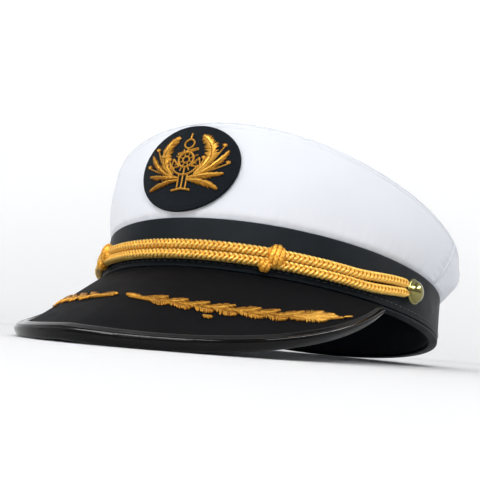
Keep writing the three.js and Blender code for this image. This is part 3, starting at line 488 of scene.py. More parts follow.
class Surface:
    """Grids of points gathered into one mesh. Each grid lists points along u, then v, and is closed
    round v. Its u ends are joined to each other (ring), fanned to a middle point (fan), or zipped
    across from the outer half of the profile to the inner half (wall)."""

    def __init__(self):
        self.points, self.corners, self.sizes, self.maps, self.painted_lights_and_tones = [], [], [], [], []
        self.count = 0

    def add(self, grids, ends="fan", tone=0.0):
        """Adds a grid, or a stack of grids of one size, and turns its faces outward."""
        grids = np.asarray(grids, float)
        if grids.ndim == 3:
            grids = grids[None]
        n, m, k, _ = grids.shape
        tone = np.broadcast_to(tone, (n, m, k))
        points, painted_lights_and_tones = grids.reshape(n, m * k, 3), tone.reshape(n, m * k)
        rows = np.arange(m if ends == "ring" else m - 1)
        i, j = (index.ravel() for index in np.meshgrid(rows, np.arange(k), indexing="ij"))
        corners = ((i, j), (i + 1, j), (i + 1, j + 1), (i, j + 1))
        along = lengths_round(grids, 1).mean(2)
        around = lengths_round(grids, 2)
        around = np.concatenate([around, around[:, :1]], 1)
        quads = np.stack([a % m * k + b % k for a, b in corners], 1)
        maps = np.stack([np.stack([along[:, a], around[:, a, b]], -1) for a, b in corners], 2)
        parts = [(quads, maps)]
        last = (m - 1) * k
        if ends == "fan":
            points, painted_lights_and_tones = (
                np.concatenate([flat, np.stack([full[:, 0].mean(1), full[:, -1].mean(1)], 1)], 1)
                for flat, full in ((points, grids), (painted_lights_and_tones, tone)))
            ring = np.arange(k)
            after = (ring + 1) % k
            tris = np.concatenate([np.stack([0 * ring + m * k, ring, after], 1),
                                   np.stack([0 * ring + m * k + 1, last + after, last + ring], 1)])
            parts.append((tris, np.zeros((n, 2 * k, 3, 2))))
        elif ends == "wall":
            half = np.arange(k // 2 - 1)
            near = np.stack([half, half + 1, k - 2 - half, k - 1 - half], 1)
            zipped = np.concatenate([near, last + near[:, ::-1]])
            height = points[:, zipped][..., 2]
            parts.append((zipped, np.stack([height, 0 * height], -1)))
        turned = (sum(spanned(points, faces) for faces, _ in parts) < 0)[:, None, None]
        offset = self.count + np.arange(n)[:, None, None] * points.shape[1]
        for faces, maps in parts:
            placed = faces[None] + offset
            self.corners.append(np.where(turned, placed[:, :, ::-1], placed).reshape(-1))
            self.maps.append(np.where(turned[..., None], maps[:, :, ::-1], maps).reshape(-1, 2))
            self.sizes.append(np.full(n * len(faces), faces.shape[1]))
        self.points.append(points.reshape(-1, 3))
        self.painted_lights_and_tones.append(painted_lights_and_tones.reshape(-1))
        self.count += n * points.shape[1]
        return self

    def build(self, name, look, slot, *nodes, sharp=50):
        """Makes the mesh in the row frame, with its map in millimetres and its painted light and
        tones.
        """
        mesh = bpy.data.meshes.new(name)
        points = to_row(np.concatenate(self.points))
        corners = np.concatenate(self.corners).astype(np.int32)
        sizes = np.concatenate(self.sizes)
        starts = np.concatenate([[0], np.cumsum(sizes)[:-1]]).astype(np.int32)
        mesh.vertices.add(len(points))
        mesh.vertices.foreach_set("co", points.astype(np.float32).ravel())
        mesh.loops.add(len(corners))
        mesh.loops.foreach_set("vertex_index", corners)
        mesh.polygons.add(len(sizes))
        mesh.polygons.foreach_set("loop_start", starts)
        mesh.polygons.foreach_set("use_smooth", np.ones(len(sizes), bool))
        mesh.update(calc_edges=True)
        layer = mesh.uv_layers.new(name="Lengths")
        layer.uv.foreach_set("vector", np.concatenate(self.maps).astype(np.float32).ravel())
        # Per-point painted light and tone: painted shade in grooves, painted highlights on crests,
        # and some random tone.
        tone = mesh.attributes.new("tone", "FLOAT", "POINT")
        tone.data.foreach_set("value", np.concatenate(self.painted_lights_and_tones).astype(np.float32))
        mesh.set_sharp_from_angle(angle=sharp * DEGREE)
        mesh.validate()
        mesh.materials.append(finish(look))
        piece = bpy.data.objects.new(name, mesh)
        bpy.context.scene.collection.objects.link(piece)
        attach(piece, "root")
        if nodes:
            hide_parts(*nodes)


def lay(points, ends, name, look, slot, node_name, sharp=50):
    """Builds a piece from one grid."""
    Surface().add(points, ends).build(name, look, slot, node_name, sharp=sharp)


def wall(outer, inner):
    """One closed profile from an outer and an inner grid, the inner one run back."""
    return np.concatenate([outer, inner[:, ::-1]], 1)


def tube(line, normals, radii, bump):
    """Closed section carried along a line: radius and bump times cosine on the normal and sine
    across it, with as many sides as the bump has columns."""
    tangents = unit(np.gradient(line, axis=-2))
    across = unit(np.cross(tangents, normals))
    normals = np.cross(across, tangents)
    turn = turns(bump.shape[-1])
    reach = np.asarray(radii, float)[..., None] + bump
    return (line[..., None, :] + normals[..., None, :] * (reach * np.cos(turn))[..., None]
            + across[..., None, :] * (reach * np.sin(turn))[..., None])


def stitches(starts, ends, normals, width, height, rows=5, sides=6):
    """Raised threads from starts to ends, each a lens in plan and in height."""
    t = np.linspace(0.04, 0.96, rows)
    swell = np.sqrt(1 - (2 * t - 1) ** 2) * 0.9 + 0.1
    along = ends - starts
    across = unit(np.cross(along, normals))
    turn = turns(sides, 0.5)
    line = starts[:, None] + along[:, None] * t[:, None]
    lift = (height * (swell - 0.2))[None, :, None] * normals[:, None]
    wide, tall = width / 2 * swell[:, None], height / 2 * swell[:, None]
    ring = (across[:, None, None] * (wide * np.cos(turn))[None, :, :, None]
            + normals[:, None, None] * (tall * np.sin(turn))[None, :, :, None])
    return (line + lift)[:, :, None] + ring


def dash_row(place, normal_at, span, length):
    """Row of sewn dashes at an even pitch along place(t), standing on it along normal_at(t)."""
    t = np.linspace(*span, 2000)
    run = run_along(place(t))
    pitch = length * STITCH_PITCH
    at = np.arange(pitch / 2, run[-1] - length, pitch)
    t0, t1 = np.interp(at, run, t), np.interp(at + length, run, t)
    return stitches(place(t0), place(t1), normal_at((t0 + t1) / 2), STITCH_WIDTH, STITCH_HEIGHT)


# Shader node groups and materials
def feed(made, inputs):
    """Links each socket to the node's input of that name, and sets each plain value."""
    for key, value in inputs.items():
        if isinstance(value, bpy.types.NodeSocket):
            made.id_data.links.new(value, made.inputs[key])
        else:
            made.inputs[key].default_value = value


def node(tree, kind, inputs=None, **settings):
    """Adds a node, applies its settings and feeds its inputs."""
    made = tree.nodes.new(kind)
    for key, value in settings.items():
        setattr(made, key, value)
    feed(made, inputs or {})
    return made


def math_node(tree, operation, first, second=None, clamp=False):
    """Math node on one or two sockets or numbers."""
    inputs = {0: first} if second is None else {0: first, 1: second}
    return node(tree, "ShaderNodeMath", inputs, operation=operation, use_clamp=clamp).outputs[0]


def spread(tree, value, low, high, limits=(0.0, 1.0)):
    """A value mapped from its own limits to the range from low to high."""
    inputs = {"Value": value, "From Min": limits[0], "From Max": limits[1],
              "To Min": low, "To Max": high}
    return node(tree, "ShaderNodeMapRange", inputs).outputs[0]


def new_group(name, inputs, outputs):
    """Empty shader group, its given sockets and its output node."""
    tree = bpy.data.node_groups.new(name, "ShaderNodeTree")
    for label, kind, default in inputs:
        socket = tree.interface.new_socket(name=label, in_out="INPUT", socket_type=kind)
        if default is not None:
            socket.default_value = default
    for label, kind in outputs:
        tree.interface.new_socket(name=label, in_out="OUTPUT", socket_type=kind)
    return tree, tree.nodes.new("NodeGroupInput").outputs, tree.nodes.new("NodeGroupOutput")


FLOAT, VECTOR, COLOUR = "NodeSocketFloat", "NodeSocketVector", "NodeSocketColor"


def weave_group():
    """Twill: two crossed sets of threads, the product of sines along leaning directions."""
    tree, given, out = new_group("Twill Weave", [
        ("Vector", VECTOR, None), ("Pitch", FLOAT, 0.5), ("Lean", FLOAT, 0.6)], [("Height", FLOAT)])
    axes = node(tree, "ShaderNodeSeparateXYZ", {0: given["Vector"]}).outputs
    rate = math_node(tree, "DIVIDE", TURN, given["Pitch"])
    waves = []
    for operation, straight, leaning in (("ADD", "X", "Y"), ("SUBTRACT", "Y", "X")):
        lean = math_node(tree, "MULTIPLY", axes[leaning], given["Lean"])
        way = math_node(tree, operation, axes[straight], lean)
        waves.append(math_node(tree, "SINE", math_node(tree, "MULTIPLY", way, rate)))
    product = math_node(tree, "MULTIPLY", *waves)
    feed(out, {"Height": math_node(tree, "MULTIPLY", product, 0.5)})


def mottle_group():
    """Soft cloudy variation between two colours, with its mask."""
    tree, given, out = new_group("Soft Mottle", [
        ("Vector", VECTOR, None), ("Scale", FLOAT, 40.0), ("Colour", COLOUR, None),
        ("Shade", COLOUR, None), ("Amount", FLOAT, 0.5)], [("Colour", COLOUR), ("Mask", FLOAT)])
    cloud = node(tree, "ShaderNodeTexNoise", {
        "Detail": 4.0, "Roughness": 0.55, "Vector": given["Vector"], "Scale": given["Scale"]})
    mask = spread(tree, cloud.outputs["Fac"], 0.0, given["Amount"], (0.3, 0.7))
    blend = node(tree, "ShaderNodeMix", {0: mask, 6: given["Colour"], 7: given["Shade"]},
                 data_type="RGBA")
    feed(out, {"Colour": blend.outputs[2], "Mask": mask})


def grain_group():
    """Fine stretched grain, as on satin, leather and thread."""
    tree, given, out = new_group("Fine Grain", [
        ("Vector", VECTOR, None), ("Stretch", VECTOR, (1, 1, 1)), ("Scale", FLOAT, 1.0)],
        [("Height", FLOAT)])
    stretched = node(tree, "ShaderNodeVectorMath", {0: given["Vector"], 1: given["Stretch"]},
                     operation="MULTIPLY")
    noise = node(tree, "ShaderNodeTexNoise", {
        "Detail": 5.0, "Roughness": 0.6, "Vector": stretched.outputs[0], "Scale": given["Scale"]})
    feed(out, {"Height": noise.outputs["Fac"]})


def use_group(tree, name, inputs):
    """Outputs of a shared group placed in a material; the groups are made on first use."""
    if name not in bpy.data.node_groups:
        for make_group in (weave_group, mottle_group, grain_group):
            make_group()
    return node(tree, "ShaderNodeGroup", inputs, node_tree=bpy.data.node_groups[name]).outputs


def start_material(name):
    """New material with its Principled shader, and the sockets of its place and its map."""
    material = bpy.data.materials.new(name)
    material.use_nodes = True
    tree = material.node_tree
    place = node(tree, "ShaderNodeTexCoord").outputs
    return material, tree, tree.nodes["Principled BSDF"], place["Object"], place["UV"]


def mottled(name, colour, shade, cloud, amount, rough):
    """Starts a material whose colour and roughness vary together in soft clouds."""
    material, tree, shader, place, lengths = start_material(name)
    tint = use_group(tree, "Soft Mottle", {
        "Scale": cloud, "Colour": (*colour, 1), "Shade": (*shade, 1), "Amount": amount,
        "Vector": place})
    feed(shader, {"Base Color": tint["Colour"], "Roughness": spread(tree, tint["Mask"], *rough)})
    return material, tree, shader, lengths


def grain(tree, lengths, stretch, scale):
    """Height of the fine grain along a piece's own map."""
    inputs = {"Stretch": stretch, "Scale": scale, "Vector": lengths}
    return use_group(tree, "Fine Grain", inputs)["Height"]


def bumps(tree, layers):
    """Chain of Bump nodes: each layer is a height, a distance in millimetres and a strength."""
    normal = {}
    for height, distance, strength in layers:
        bump = node(tree, "ShaderNodeBump", {"Distance": distance * MM, "Strength": strength,
                                             "Height": height, **normal})
        normal = {"Normal": bump.outputs[0]}
    return normal


def cloth_material(name, colour, shade, pitch, lean, rough, weave=0.08, cloud=45.0, amount=0.5,
                   sheen=0.1, fibre=0.05, stretch=(1, 1, 1), specular=0.3):
    """Woven cloth: mottled colour, twill and a soft grain in its relief."""
    material, tree, shader, lengths = mottled(name, colour, shade, cloud, amount, rough)
    twill = {"Pitch": pitch, "Lean": lean, "Vector": lengths}
    threads = use_group(tree, "Twill Weave", twill)["Height"]
    fine = grain(tree, lengths, stretch, 1.4)
    feed(shader, {"Sheen Weight": sheen, "Sheen Roughness": 0.5, "Specular IOR Level": specular,
                  **bumps(tree, [(threads, weave, 0.5), (fine, fibre, 0.6)])})
    return material


def gold_material(name, painted_highlight, middle, painted_shade, rough, metal, strand=0.35):
    """Gold thread: its painted light and tone run from the painted shade colour in the grooves to
    the painted highlight colour on the crests.
    """
    material, tree, shader, place, lengths = start_material(name)
    tone = node(tree, "ShaderNodeAttribute", attribute_name="tone").outputs["Fac"]
    fine = grain(tree, lengths, (0.6, 5, 1), 1.0 / strand)
    cloud = use_group(tree, "Soft Mottle", {"Scale": 260.0, "Amount": 0.35, "Colour": (1, 1, 1, 1),
                                            "Shade": (0.74, 0.6, 0.45, 1), "Vector": place})
    varied = math_node(tree, "ADD", tone, math_node(tree, "MULTIPLY", fine, 0.3))
    varied = math_node(tree, "SUBTRACT", varied, 0.15, clamp=True)
    ramp = node(tree, "ShaderNodeValToRGB", {0: varied})
    ramp.color_ramp.elements[0].color = (*painted_shade, 1)
    ramp.color_ramp.elements[1].color = (*painted_highlight, 1)
    ramp.color_ramp.elements.new(0.5).color = (*middle, 1)
    tinted = node(tree, "ShaderNodeMix", {0: 1.0, 6: ramp.outputs[0], 7: cloud["Colour"]},
                  data_type="RGBA", blend_type="MULTIPLY")
    smooth_crest, rough_groove = rough
    feed(shader, {"Base Color": tinted.outputs[2], "Metallic": metal, "Specular IOR Level": 0.15,
                  "Roughness": spread(tree, tone, rough_groove, smooth_crest),
                  **bumps(tree, [(fine, 0.09, 0.7), (tone, 0.12, 0.5)])})
    return material


def polished_material(name, colour, shade, cloud, amount, rough, stretch, scale, relief, gloss):
    """Patent leather or brass: patches of colour and gloss, and faint waves or smears in relief."""
    material, tree, shader, lengths = mottled(name, colour, shade, cloud, amount, rough)
    feed(shader, {**gloss, **bumps(tree, [(grain(tree, lengths, stretch, scale), relief, 0.4)])})
    return material


def shaded(colour, share):
    return tuple(share * c for c in colour)


def finish(name):
    """The named finish, made on first use from the colours in the scene's settings."""
    if name in bpy.data.materials:
        return bpy.data.materials[name]
    tints = bpy.context.scene.hat_colours
    white, black, navy, peak, felt, gold, gold_painted_shade, patent, brass = (
        tuple(getattr(tints, key)) for key in HatColours.__annotations__)
    dim = shaded(black, 0.55)
    middle = tuple(mix(painted_shade, lit, 0.54) for painted_shade, lit in zip(gold_painted_shade, gold))
    weave = bpy.context.scene.hat_sizes.weave
    recipes = {
        # cloth: colour, shade, pitch in mm, lean and the range of its roughness
        "White Twill": (cloth_material, (white, shaded(white, 0.965), weave, 0.9, (0.75, 0.9)),
                        dict(weave=0.05, amount=0.6, sheen=0.15)),
        "White Thread": (cloth_material, (shaded(white, 0.94), white, 0.3, 2.0, (0.6, 0.8)), {}),
        "Band Satin": (cloth_material, (black, dim, 0.42, 0.0, (0.4, 0.55)),
                       dict(weave=0.05, fibre=0.14, stretch=(0.35, 2.2, 1), cloud=90.0, sheen=0.0,
                            specular=0.06)),
        "Navy Cloth": (cloth_material, (navy, shaded(navy, 0.6), 0.5, 0.8, (0.5, 0.7)),
                       dict(weave=0.1, cloud=60.0, sheen=0.12)),
        "Peak Cloth": (cloth_material, (peak, shaded(peak, 0.75), 0.45, 0.5, (0.6, 0.78)),
                       dict(weave=0.07, fibre=0.1, cloud=80.0, sheen=0.0, specular=0.05)),
        "Pleated Lining": (cloth_material, (dim, shaded(dim, 0.6), 0.4, 0.3, (0.38, 0.55)),
                           dict(weave=0.05, cloud=60.0, sheen=0.05, specular=0.4)),
        "Badge Felt": (cloth_material, (felt, shaded(felt, 0.6), 0.9, 1.3, (0.85, 0.98)),
                       dict(weave=0.05, fibre=0.5, stretch=(2, 2, 1), cloud=420.0, sheen=0.04,
                            specular=0.11)),
        "Dark Thread": (cloth_material, (black, dim, 0.3, 2.0, (0.35, 0.5)), dict(specular=0.5)),
        # gold: painted highlight, middle and painted shade colours, roughness of crest and groove,
        # metal
        "Gold Braid": (
            gold_material, ((0.9, 0.66, 0.19), (0.8, 0.385, 0.038), shaded(gold_painted_shade, 1.7),
                            (0.26, 0.5), 0.4), {}),
        "Gold Embroidery": (
            gold_material, ((0.78, 0.44, 0.07), middle, gold_painted_shade, (0.32, 0.52), 0.45),
            dict(strand=0.25)),
        # polished: colour, shade, cloud scale, amount, roughness, grain's stretch, scale and relief
        "Patent Trim": (
            polished_material, (patent, (0.009, 0.0065, 0.0055), 70.0, 0.6, (0.06, 0.13),
                                (0.25, 0.8, 1), 0.5, 0.1),
            dict(gloss={"Coat Weight": 0.04, "Coat Roughness": 0.05, "Specular IOR Level": 0.14})),
        "Polished Brass": (
            polished_material, (brass, (0.16, 0.14, 0.045), 320.0, 0.45, (0.1, 0.24),
                                (1, 1, 1), 0.6, 0.05), dict(gloss={"Metallic": 1.0})),
    }
    make, values, more = recipes[name]
    return make(name, *values, **more)


# Pieces
def crown_panel(angles):
    """Closed wall of one crown panel: hem behind the band, lip, wall and rolled top edge."""
    shares = np.concatenate([np.linspace(0, 0.1, 7)[:-1], np.linspace(0.1, 0.9, 30)[:-1],
                             np.linspace(0.9, 1, 12)])
    grid = angles[:, None]

    def side(inset):
        hem = np.linspace(BAND_HEIGHT - CROWN_HEM, BAND_HEIGHT - 0.4, 3)
        low = ring_point(grid, -HEM_INSET - inset, hem[None])
        return np.concatenate([low, crown_point(grid, shares[None], inset)], 1)

    return wall(side(0.0), side(CROWN_CLOTH))


def crown_top_points():
    """Closed sheet: rings from the middle over the rolled edge and back underneath. Its height is
    the edge's plus the dome times one less the share squared, with soft waves and a welt."""
    a = once_round(-math.pi, TOP_COLUMNS).T
    rho = np.concatenate([np.linspace(0.02, 0.93, 32)[:-1], np.linspace(0.93, 0.992, 12)])
    roll = np.linspace(0, math.pi, 9)
    radius = CROWN_CLOTH / 2

    def rings(share, lift):
        share = share[:, None]
        y = -share * crown_reach(a) * np.cos(a)
        pucker = sines(a, (0.07, 71, 0.7), (0.05, 113, 2.2)) * np.exp(-(1 - share) / 0.05)
        soft = (0.9 * np.sin(2.1 * share * np.cos(a - 0.4) * 3 + 1)
                * np.sin(2.6 * share * np.sin(a) * 2.2))
        welt = -0.3 * bell(share - 0.965, 0.008)
        z = edge_height(y) + CROWN_DOME * (1 - share ** 2) + lift[:, None] + pucker
        z = z + (soft * (1 - share ** 2) + welt)
        return np.stack([share * CROWN_TOP_WIDTH / 2 * np.sin(a), y, z], -1)

    top = rings(rho, 0 * rho + CROWN_CLOTH)
    edge = rings(0.993 + 0.007 * np.sin(roll), radius + radius * np.cos(roll))
    under = rings(rho[::-1][::3], 0 * rho[::3])
    return np.concatenate([top, edge[1:-1], under])


def band_points(waves):
    """The band's profile carried round the rim's oval, with soft waves times sine of the height."""
    angles = once_round(-math.pi, BAND_COLUMNS)
    outline = rounded_box(-BAND_WALL, 0, BAND_FOOT, BAND_HEIGHT, 0.5, 18)
    height = (outline[:, 1] - BAND_FOOT) / (BAND_HEIGHT - BAND_FOOT)
    ripple = sines(angles, (1, 19, 1), (0.7, 31, 9 * height))
    soft = waves * ripple * np.sin(math.pi * height)
    hem = -0.14 * bell(height - 0.11, 0.02)
    return ring_point(angles, outline[:, 0] + soft + hem, outline[:, 1])


def binding_points():
    """Folded binding: a soft roll under the band and the sweatband."""
    outline = rounded_box(-RIM_INSET, 0, 0, BINDING_HEIGHT, 0.6, 5)
    return ring_point(once_round(-math.pi, BINDING_COLUMNS), outline[:, 0], outline[:, 1])


def sweatband_points():
    """Thin wall that leans inwards above the band, with slack waves along its upper edge."""
    angles = once_round(0, BAND_COLUMNS)
    outline = rounded_box(-SWEATBAND_INSET - SWEATBAND_WALL, -SWEATBAND_INSET, BAND_FOOT,
                          SWEATBAND_HEIGHT, 0.45, 20)
    rise = smooth((outline[:, 1] - BAND_HEIGHT) / (SWEATBAND_HEIGHT - BAND_HEIGHT))
    slack = rise * sines(angles, (0.35, 9, 2), (0.25, 23, 0), (0.15, 41, 1))
    away = (angles - math.pi) * HALF_LENGTH
    seam = 0.45 * bell(away, 0.8) - 0.2 * bell(np.abs(away) - SEAM_STITCH_AWAY, 0.6)
    inner = np.where(outline[:, 0] < -SWEATBAND_INSET - SWEATBAND_WALL / 2, 1, 0)
    out = outline[:, 0] - SWEATBAND_LEAN * rise - slack * rise + seam * inner
    return ring_point(angles, out, outline[:, 1])


def board_points():
    """Closed sheet on the peak's ruling from the band to the trim, with a faint swell on top."""
    across = peak_columns(PEAK_END, BOARD_COLUMNS)[:, None]
    reach = np.linspace(0, 1, 36)[None] * (1 - (TRIM_WALL + CLEARANCE) / peak_length(across))
    swell = 0.06 * np.sin(across * 37) * np.sin(reach * 9)
    return wall(peak_point(across, reach, BOARD_TOP + swell),
                peak_point(across, reach, -BOARD_TOP + 0 * swell))


def under_width(length):
    """Width of the trim under the peak, less where the peak is short."""
    return np.minimum(TRIM_UNDER, 0.8 * length)


def lining_points(pleats):
    """Cloth under the peak, gathered in leaning pleats: a rounded saw of the slanted distance."""
    across = peak_columns(LINING_END, LINING_COLUMNS)[:, None]
    across = peak_columns(LINING_END, LINING_COLUMNS)[:, None]
    length = peak_length(across)
    share = np.linspace(0, 1, 40)[None]
    reach = share * (1 - (under_width(length) + CLEARANCE) / length)
    run = across * 100 + reach * length * 0.9
    saw = (run / 7.5) % 1
    rounded_saw = (np.minimum(saw / 0.72, (1 - saw) / 0.28)) ** 0.8
    fold = pleats * rounded_saw * np.sin(math.pi * share) ** 0.35
    top = -BOARD_TOP - CLEARANCE
    under = peak_point(across, reach, top - LINING_THICKNESS * 0.75 - fold)
    return wall(peak_point(across, reach, top + 0 * fold), under)


def trim_points():
    """Rolled trim: a smooth section through control points, carried along the peak's edge."""
    across = peak_columns(PEAK_END, TRIM_COLUMNS)
    length = peak_length(across)
    inside, outside = BOARD_TOP + CLEARANCE, BOARD_TOP + CLEARANCE + TRIM_WALL
    top = np.minimum(TRIM_TOP, 0.7 * length)
    roll = np.minimum(TRIM_ROLL, 0.45 * length)
    under = under_width(length)
    bead = outside + TRIM_BEAD
    shell = [
        # inward from the edge, height
        (top, inside + 0.1), (top * 0.985, outside * 0.9), (top * 0.93, outside),
        (mix(top, roll, 0.5), outside), (roll * 1.12, outside * 0.98),
        (roll * 0.95, outside + 0.25), (roll * 0.72, bead), (roll * 0.5, bead * 0.9),
        (roll * 0.38, bead * 0.8), (roll * 0.22, bead * 0.84), (roll * 0.04, bead * 0.5),
        (roll * -0.02, 0.2), (roll * 0.04, -outside * 0.6), (roll * 0.28, -outside * 0.95),
        (roll * 0.6, -outside * 0.93), (roll * 0.8, -outside * 0.8), (roll, -outside * 0.95),
        (mix(roll, under, 0.4), -outside),
        (under * 0.94, -outside), (under * 0.985, -outside * 0.9), (under, -inside - 0.1)]
    core = [
        (top, inside), (mix(top, roll, 0.4), inside), (roll, inside), (TRIM_WALL, inside * 0.9),
        (TRIM_WALL * 0.95, 0), (TRIM_WALL, -inside * 0.9), (roll, -inside),
        (mix(roll, under, 0.6), -inside), (under, -inside)]

    def carry(rows):
        control = np.array([[0 * length + inward, 0 * length + height] for inward, height in rows])
        line = catmull(control.reshape(len(rows), -1), TRIM_ROWS).reshape(TRIM_ROWS, 2, -1)
        inward, height = line[:, 0].T, line[:, 1].T
        return peak_point(across[:, None], 1 - inward / length[:, None], height)

    return wall(carry(shell), carry(core))


def leaf_line(start, bend, end, t):
    """Bowed line from start to end through a bend, by the quadratic blend of the three."""
    t = t[..., None]
    return (1 - t) ** 2 * start + 2 * t * (1 - t) * bend + t ** 2 * end


def embroider_leaf(surface, place, start, bend, end, width, rng, tone, relief=0.75, teeth=0.35,
                   lobes=0):
    """One satin leaf on place(x, y, out): a low padded core, and threads that lean forward from the
    midrib to both edges. Lengths vary a little, so that the edge is feathered. One side of the
    midrib is painted darker and the other lighter, a painted shade and highlight. Lobes scallop the
    outline."""
    start, bend, end = (np.asarray(p, float) for p in (start, bend, end))
    run = np.linalg.norm(bend - start) + np.linalg.norm(end - bend)

    def halves(t):
        swell = np.interp(t, LEAF_PLACES, LEAF_WIDTHS) * width / 2
        return swell * (1 + 0.28 * (np.abs(np.sin(math.pi * lobes * t)) - 0.5)) if lobes else swell

    def at(t, off):
        line = leaf_line(start, bend, end, np.clip(t, 0, 1))
        along = unit(2 * (1 - t)[..., None] * (bend - start) + 2 * t[..., None] * (end - bend))
        side = np.stack([-along[..., 1], along[..., 0]], -1)
        return line + side * off[..., None]

    t = np.linspace(0.02, 0.98, 16)[:, None]
    turn = turns(10)[None]
    core = at(t + 0 * turn, 0.8 * halves(t) * np.cos(turn))
    out = 0.62 * relief * np.maximum(np.sin(turn), -0.05) + 0 * t
    # The padded core is painted dark, a painted shade under the threads.
    surface.add(place(core[..., 0], core[..., 1], out), tone=0.1 * tone)

    count = max(8, int(run / LEAF_THREAD_PITCH))
    t0 = np.repeat(np.linspace(0.0, 0.93, count), 2) + rng.uniform(-0.01, 0.01, 2 * count)
    side = np.tile([1.0, -1.0], count)
    t1 = np.clip(t0 + (0.9 * halves(t0) + 0.7) / run, 0, 1.04)
    reach = halves(np.clip(t1, 0, 1)) * side * (1 + teeth * rng.uniform(-0.6, 1, 2 * count))
    inner, outer = at(t0, 0.1 * side), at(t1, reach)
    (x0, y0), (x1, y1), (x, y) = inner.T, outer.T, ((inner + outer) / 2).T
    base = place(x, y, 0 * t0)
    normals = unit(place(x, y, 0 * t0 + 1) - base)
    starts = place(x0, y0, 0 * t0 + relief * 0.72)
    stops = place(x1, y1, 0 * t0 + relief * 0.08)
    rows, sides = 4, 5
    grids = stitches(starts, stops, normals, LEAF_THREAD_WIDTH, LEAF_THREAD_HEIGHT, rows, sides)
    # One side of the midrib is painted darker and the other lighter: painted shade and painted
    # highlight.
    lit = np.where(side * (end - start)[0] < 0, 0.62, 1.15)
    shade = np.clip(tone * lit + rng.uniform(-0.2, 0.2, 2 * count), 0, 1)
    # Each thread is painted lighter on its top, a painted highlight, and darker towards the leaf's
    # edge, a painted shade.
    painted_thread_highlight = 0.65 + 0.5 * np.maximum(np.sin(turns(sides, 0.5)), 0)
    painted_edge_shade = np.linspace(1.2, 0.65, rows)[None, :, None]
    surface.add(grids, tone=shade[:, None, None] * painted_edge_shade * painted_thread_highlight)


def couch_thread(surface, place, path, radius, tone, closed=False):
    """Twisted thread along a path in the badge's plane: a tube with a screw of small ridges."""
    path = np.asarray(path, float)
    run = run_along(path)
    at = np.linspace(0, run[-1], max(8, int(run[-1] / COUCH_STEP)), endpoint=not closed)
    x, y = np.interp(at, run, path[:, 0]), np.interp(at, run, path[:, 1])
    line = place(x, y, 0 * x + radius * 0.55)
    normals = unit(place(x, y, 0 * x + 1) - line)
    screw = 0.5 + 0.5 * np.sin(TURN * at[:, None] / COUCH_TWIST + 2 * turns(THREAD_SIDES)[None])
    rows = [line, normals, 0 * at + radius * 0.86, 0.3 * radius * screw]
    if closed:
        rows = [np.concatenate([row[-2:], row, row[:2]]) for row in rows]
    grid = tube(*rows)
    # Painted shade: the thread is painted lighter on its ridges and darker between them.
    surface.add(grid[2:-2] if closed else grid, "ring" if closed else "fan",
                tone=tone * (0.45 + 0.55 * screw))


def spray_surface(side):
    """Leaf spray on one half of the peak, laid on it by shares of the half width and depth."""
    rng = np.random.default_rng(SPRAY_SEED + side)
    middle_line = peak_point(np.linspace(0, 1, 21), SPRAY_REACH, 0.0)
    half_span = np.linalg.norm(np.diff(middle_line, axis=0), axis=1).sum()
    depth = float(peak_length(np.array([0.0]))[0])
    floor = BOARD_TOP + 0.12

    def place(x, y, out):
        return peak_point(side * x / half_span, y / depth, floor + out)

    surface = Surface()
    first, last, low, high = SPRAY_STEM
    t = np.linspace(0, 1, 40)
    wave = 0.012 * np.sin(9 * t)
    stem = np.stack([mix(first, last, t) * half_span, (mix(low, high, t) + wave) * depth], -1)
    couch_thread(surface, place, stem, 0.42, 0.7)
    couch_thread(surface, place, stem + [0.3, 0.8], 0.36, 0.55)
    for start, end, start_depth, end_depth, width, tone in SPRAY_LEAVES:
        a = np.array([start * half_span, start_depth * depth])
        b = np.array([end * half_span, end_depth * depth])
        bow = np.array([-(b - a)[1], (b - a)[0]]) * 0.1 * np.sign(start_depth - end_depth)
        embroider_leaf(surface, place, a, (a + b) / 2 + bow, b, width * depth, rng, tone, teeth=0.8)
    return surface


def arc(x, y, radius, start, end, count=48):
    """Points on part of a circle."""
    turn = np.linspace(start, end, count)
    return np.stack([x + radius * np.cos(turn), y + radius * np.sin(turn)], -1)


def badge_patch_points():
    """Felt disc laid on the crown's front: rings over its rounded edge and back underneath."""
    angles = once_round(0, BADGE_COLUMNS).T
    roll = np.linspace(0, math.pi, 9)
    face = np.linspace(0.03, 0.96, 26)
    back = np.linspace(0.96, 0.03, 10)
    share = np.concatenate([face, 0.97 + 0.03 * np.sin(roll), back])
    half = BADGE_THICKNESS / 2
    out = np.concatenate([0 * face + BADGE_THICKNESS, half + half * np.cos(roll), 0 * back])
    out = out[:, None]
    x = share[:, None] * BADGE_WIDTH / 2 * np.cos(angles)
    y = share[:, None] * BADGE_HEIGHT / 2 * np.sin(angles)
    fuzz = 0.05 * np.sin(x * 7.3 + 1) * np.sin(y * 6.1) * (out > half)
    return front_place(x, BADGE_CENTRE + y, CLEARANCE + out + fuzz)


